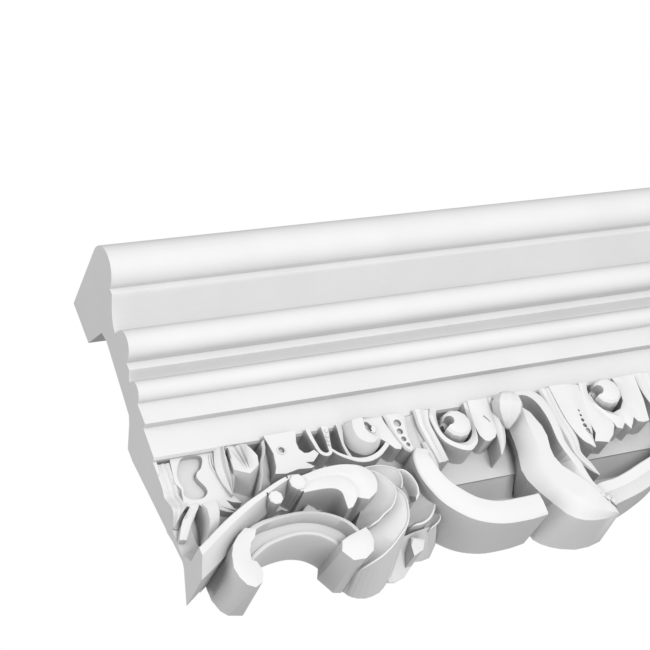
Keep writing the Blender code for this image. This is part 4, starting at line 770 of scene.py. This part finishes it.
def back_cuts():
    """The wall plane, both ends, the two long hollows and the pocket at the left end."""
    far = 400.0
    block_cut("wall_cut", (-far, -far, -far), (LENGTH + far, 2 * far, 0))
    block_cut("left_cut", (-far, -far, -far), (0, 2 * far, far))
    block_cut("right_cut", (LENGTH, -far, -far), (LENGTH + far, 2 * far, far))
    cove_top, band_top = DROPS["low_cove"], DROPS["upper_band"]
    upper_end = band_top + 10.6
    hollow = [(TOP_LAND - 3, -PAST), (TOP_LAND, 0), (TOP_LAND + 9.8, 25.9), (TOP_LAND + 18.6, 28.2),
              (cove_top + 4, 22.6), (band_top - 3, 20.2), (band_top + 1, 15.8), (upper_end, 0),
              (upper_end + 3, -PAST)]
    sweep("upper_hollow", hollow, -PAST, LENGTH + PAST, cuts)
    low_top = upper_end + LAND
    foot = GROUND_FOOT
    sweep("lower_hollow", [(low_top, -PAST), (low_top, 0), (foot - 12.6, 11.8), (foot - 6, 11.8),
                           (foot - 3.5, 0), (foot - 3.5, -PAST)], -PAST, LENGTH + PAST, cuts)
    sweep("end_pocket", [(foot - 16, -PAST), (foot - 16, 9), (foot - 1, 14.8), (foot + 16, 18.1),
                         (foot + 20, 16.4), (foot + 38.7, 0), (foot + 44, -PAST)], -PAST, 12.0, cuts)


def add_node(nodes, kind, values):
    """A new shader node with some of its inputs set."""
    made = nodes.new(kind)
    for name, value in values.items():
        made.inputs[name].default_value = value
    return made


def plaster():
    """White cast plaster: a fine grain, faint clouds of tone and painted shade darkening the hollows."""
    material = bpy.data.materials.new("cast_plaster")
    material.use_nodes = True
    nodes, links = material.node_tree.nodes, material.node_tree.links
    shader = nodes["Principled BSDF"]
    shader.inputs["Specular IOR Level"].default_value = 0.25
    place = add_node(nodes, "ShaderNodeTexCoord", {})
    cloud = add_node(nodes, "ShaderNodeTexNoise", {"Scale": 18.0, "Detail": 5.0})
    links.new(place.outputs["Object"], cloud.inputs["Vector"])
    tone = add_node(nodes, "ShaderNodeValToRGB", {})
    for end, (position, grey) in zip(tone.color_ramp.elements, CLOUDS):
        end.position = position
        end.color = (grey, grey, grey, 1.0)
    links.new(cloud.outputs["Fac"], tone.inputs["Fac"])
    # Painted shade: ambient occlusion darkens the base colour in hollows, creases and under overhangs.
    hollow = add_node(nodes, "ShaderNodeAmbientOcclusion", {"Distance": PAINTED_SHADE_REACH})
    hollow.samples = 8
    painted_shade = add_node(nodes, "ShaderNodeMapRange", {"From Min": 0.25, "From Max": 0.95,
                                                  "To Min": 0.55, "To Max": 1.0})
    links.new(hollow.outputs["AO"], painted_shade.inputs["Value"])
    blend = add_node(nodes, "ShaderNodeMix", {"Factor": 1.0})
    blend.data_type = "RGBA"
    blend.blend_type = "MULTIPLY"
    links.new(tone.outputs["Color"], blend.inputs[6])
    links.new(painted_shade.outputs["Result"], blend.inputs[7])
    links.new(blend.outputs[2], shader.inputs["Base Color"])
    grain = add_node(nodes, "ShaderNodeTexNoise", {"Scale": 1400.0, "Detail": 3.0})
    links.new(place.outputs["Object"], grain.inputs["Vector"])
    rough = add_node(nodes, "ShaderNodeMapRange", {"To Min": 0.72, "To Max": 0.92})
    links.new(grain.outputs["Fac"], rough.inputs["Value"])
    links.new(rough.outputs["Result"], shader.inputs["Roughness"])
    bump = add_node(nodes, "ShaderNodeBump", {"Strength": 0.12, "Distance": 0.0001})
    links.new(grain.outputs["Fac"], bump.inputs["Height"])
    links.new(bump.outputs["Normal"], shader.inputs["Normal"])
    return material


def casting():
    """Join the carving to the plain moulding, cut the back and ends, and shade its edges."""
    moulding()
    left_cartouche()
    left_leaves()
    first_curl()
    middle_leaves()
    right_leaves()
    scroll()
    shell()
    swags()
    great_ribbon()
    bud()
    back_web()
    back_cuts()
    piece = unions[0]
    bpy.context.scene.collection.objects.link(piece)
    for group, operation in ((unions[1:], "UNION"), (cuts, "DIFFERENCE")):
        for item in group:
            bpy.context.scene.collection.objects.link(item)
            change = piece.modifiers.new(item.name, "BOOLEAN")
            change.operation = operation
            change.object = item
            change.solver = "MANIFOLD"
    graph = bpy.context.evaluated_depsgraph_get()
    mesh = bpy.data.meshes.new_from_object(piece.evaluated_get(graph))
    for item in unions + cuts:
        bpy.data.objects.remove(item, do_unlink=True)
    bm = bmesh.new()
    bm.from_mesh(mesh)
    bmesh.ops.remove_doubles(bm, verts=bm.verts, dist=MERGE)
    bmesh.ops.dissolve_degenerate(bm, dist=MERGE, edges=bm.edges)
    bmesh.ops.triangulate(bm, faces=[f for f in bm.faces if len(f.verts) > 4])
    bm.to_mesh(mesh)
    bm.free()
    for face in mesh.polygons:
        face.use_smooth = True
    mesh.set_sharp_from_angle(angle=CREASE)
    made = bpy.data.objects.new("cast_moulding", mesh)
    bpy.context.scene.collection.objects.link(made)
    mesh.materials.clear()
    mesh.materials.append(plaster())
    return made


def studio():
    """A pale floor far below, soft lights and a white surround."""
    bpy.ops.mesh.primitive_plane_add(size=FLOOR_WIDTH, location=(0, 0, -FLOOR_DROP))
    floor = bpy.context.object
    floor.name = "floor"
    material = bpy.data.materials.new("pale_floor")
    material.use_nodes = True
    shader = material.node_tree.nodes["Principled BSDF"]
    shader.inputs["Base Color"].default_value = (FLOOR_GREY, FLOOR_GREY, FLOOR_GREY, 1.0)
    shader.inputs["Roughness"].default_value = 0.9
    floor.data.materials.append(material)
    world = bpy.data.worlds.new("studio")
    bpy.context.scene.world = world
    world.use_nodes = True
    nodes, links = world.node_tree.nodes, world.node_tree.links
    shade = nodes["Background"]
    shade.inputs["Color"].default_value = WHITE
    shade.inputs["Strength"].default_value = SURROUND
    seen = add_node(nodes, "ShaderNodeBackground", {"Color": WHITE, "Strength": 1.0})
    path = add_node(nodes, "ShaderNodeLightPath", {})
    either = add_node(nodes, "ShaderNodeMixShader", {})
    links.new(path.outputs["Is Camera Ray"], either.inputs["Fac"])
    links.new(shade.outputs["Background"], either.inputs[1])
    links.new(seen.outputs["Background"], either.inputs[2])
    links.new(either.outputs["Shader"], nodes["World Output"].inputs["Surface"])
    for name, side, energy, size in LAMPS:
        light = bpy.data.lights.new(name, "AREA")
        light.energy = energy
        light.size = size
        lamp = bpy.data.objects.new(name, light)
        lamp.visible_camera = False
        away = Vector(side).normalized()
        lamp.location = away * LAMP_DISTANCE
        lamp.rotation_mode = "QUATERNION"
        lamp.rotation_quaternion = (-away).to_track_quat("-Z", "Y")
        bpy.context.scene.collection.objects.link(lamp)
    bpy.context.scene.view_settings.view_transform = "Standard"


def camera():
    """The photograph's viewpoint: below the moulding and to its left."""
    lens = bpy.data.cameras.new("camera")
    lens.lens = LENS
    lens.sensor_width = FILM
    lens.clip_end = 50.0
    eye = bpy.data.objects.new("camera", lens)
    eye.matrix_world = Matrix(VIEWPOINT)
    bpy.context.scene.collection.objects.link(eye)
    bpy.context.scene.camera = eye


piece = casting()
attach(piece, "root")
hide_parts(NODE)
studio()
camera()
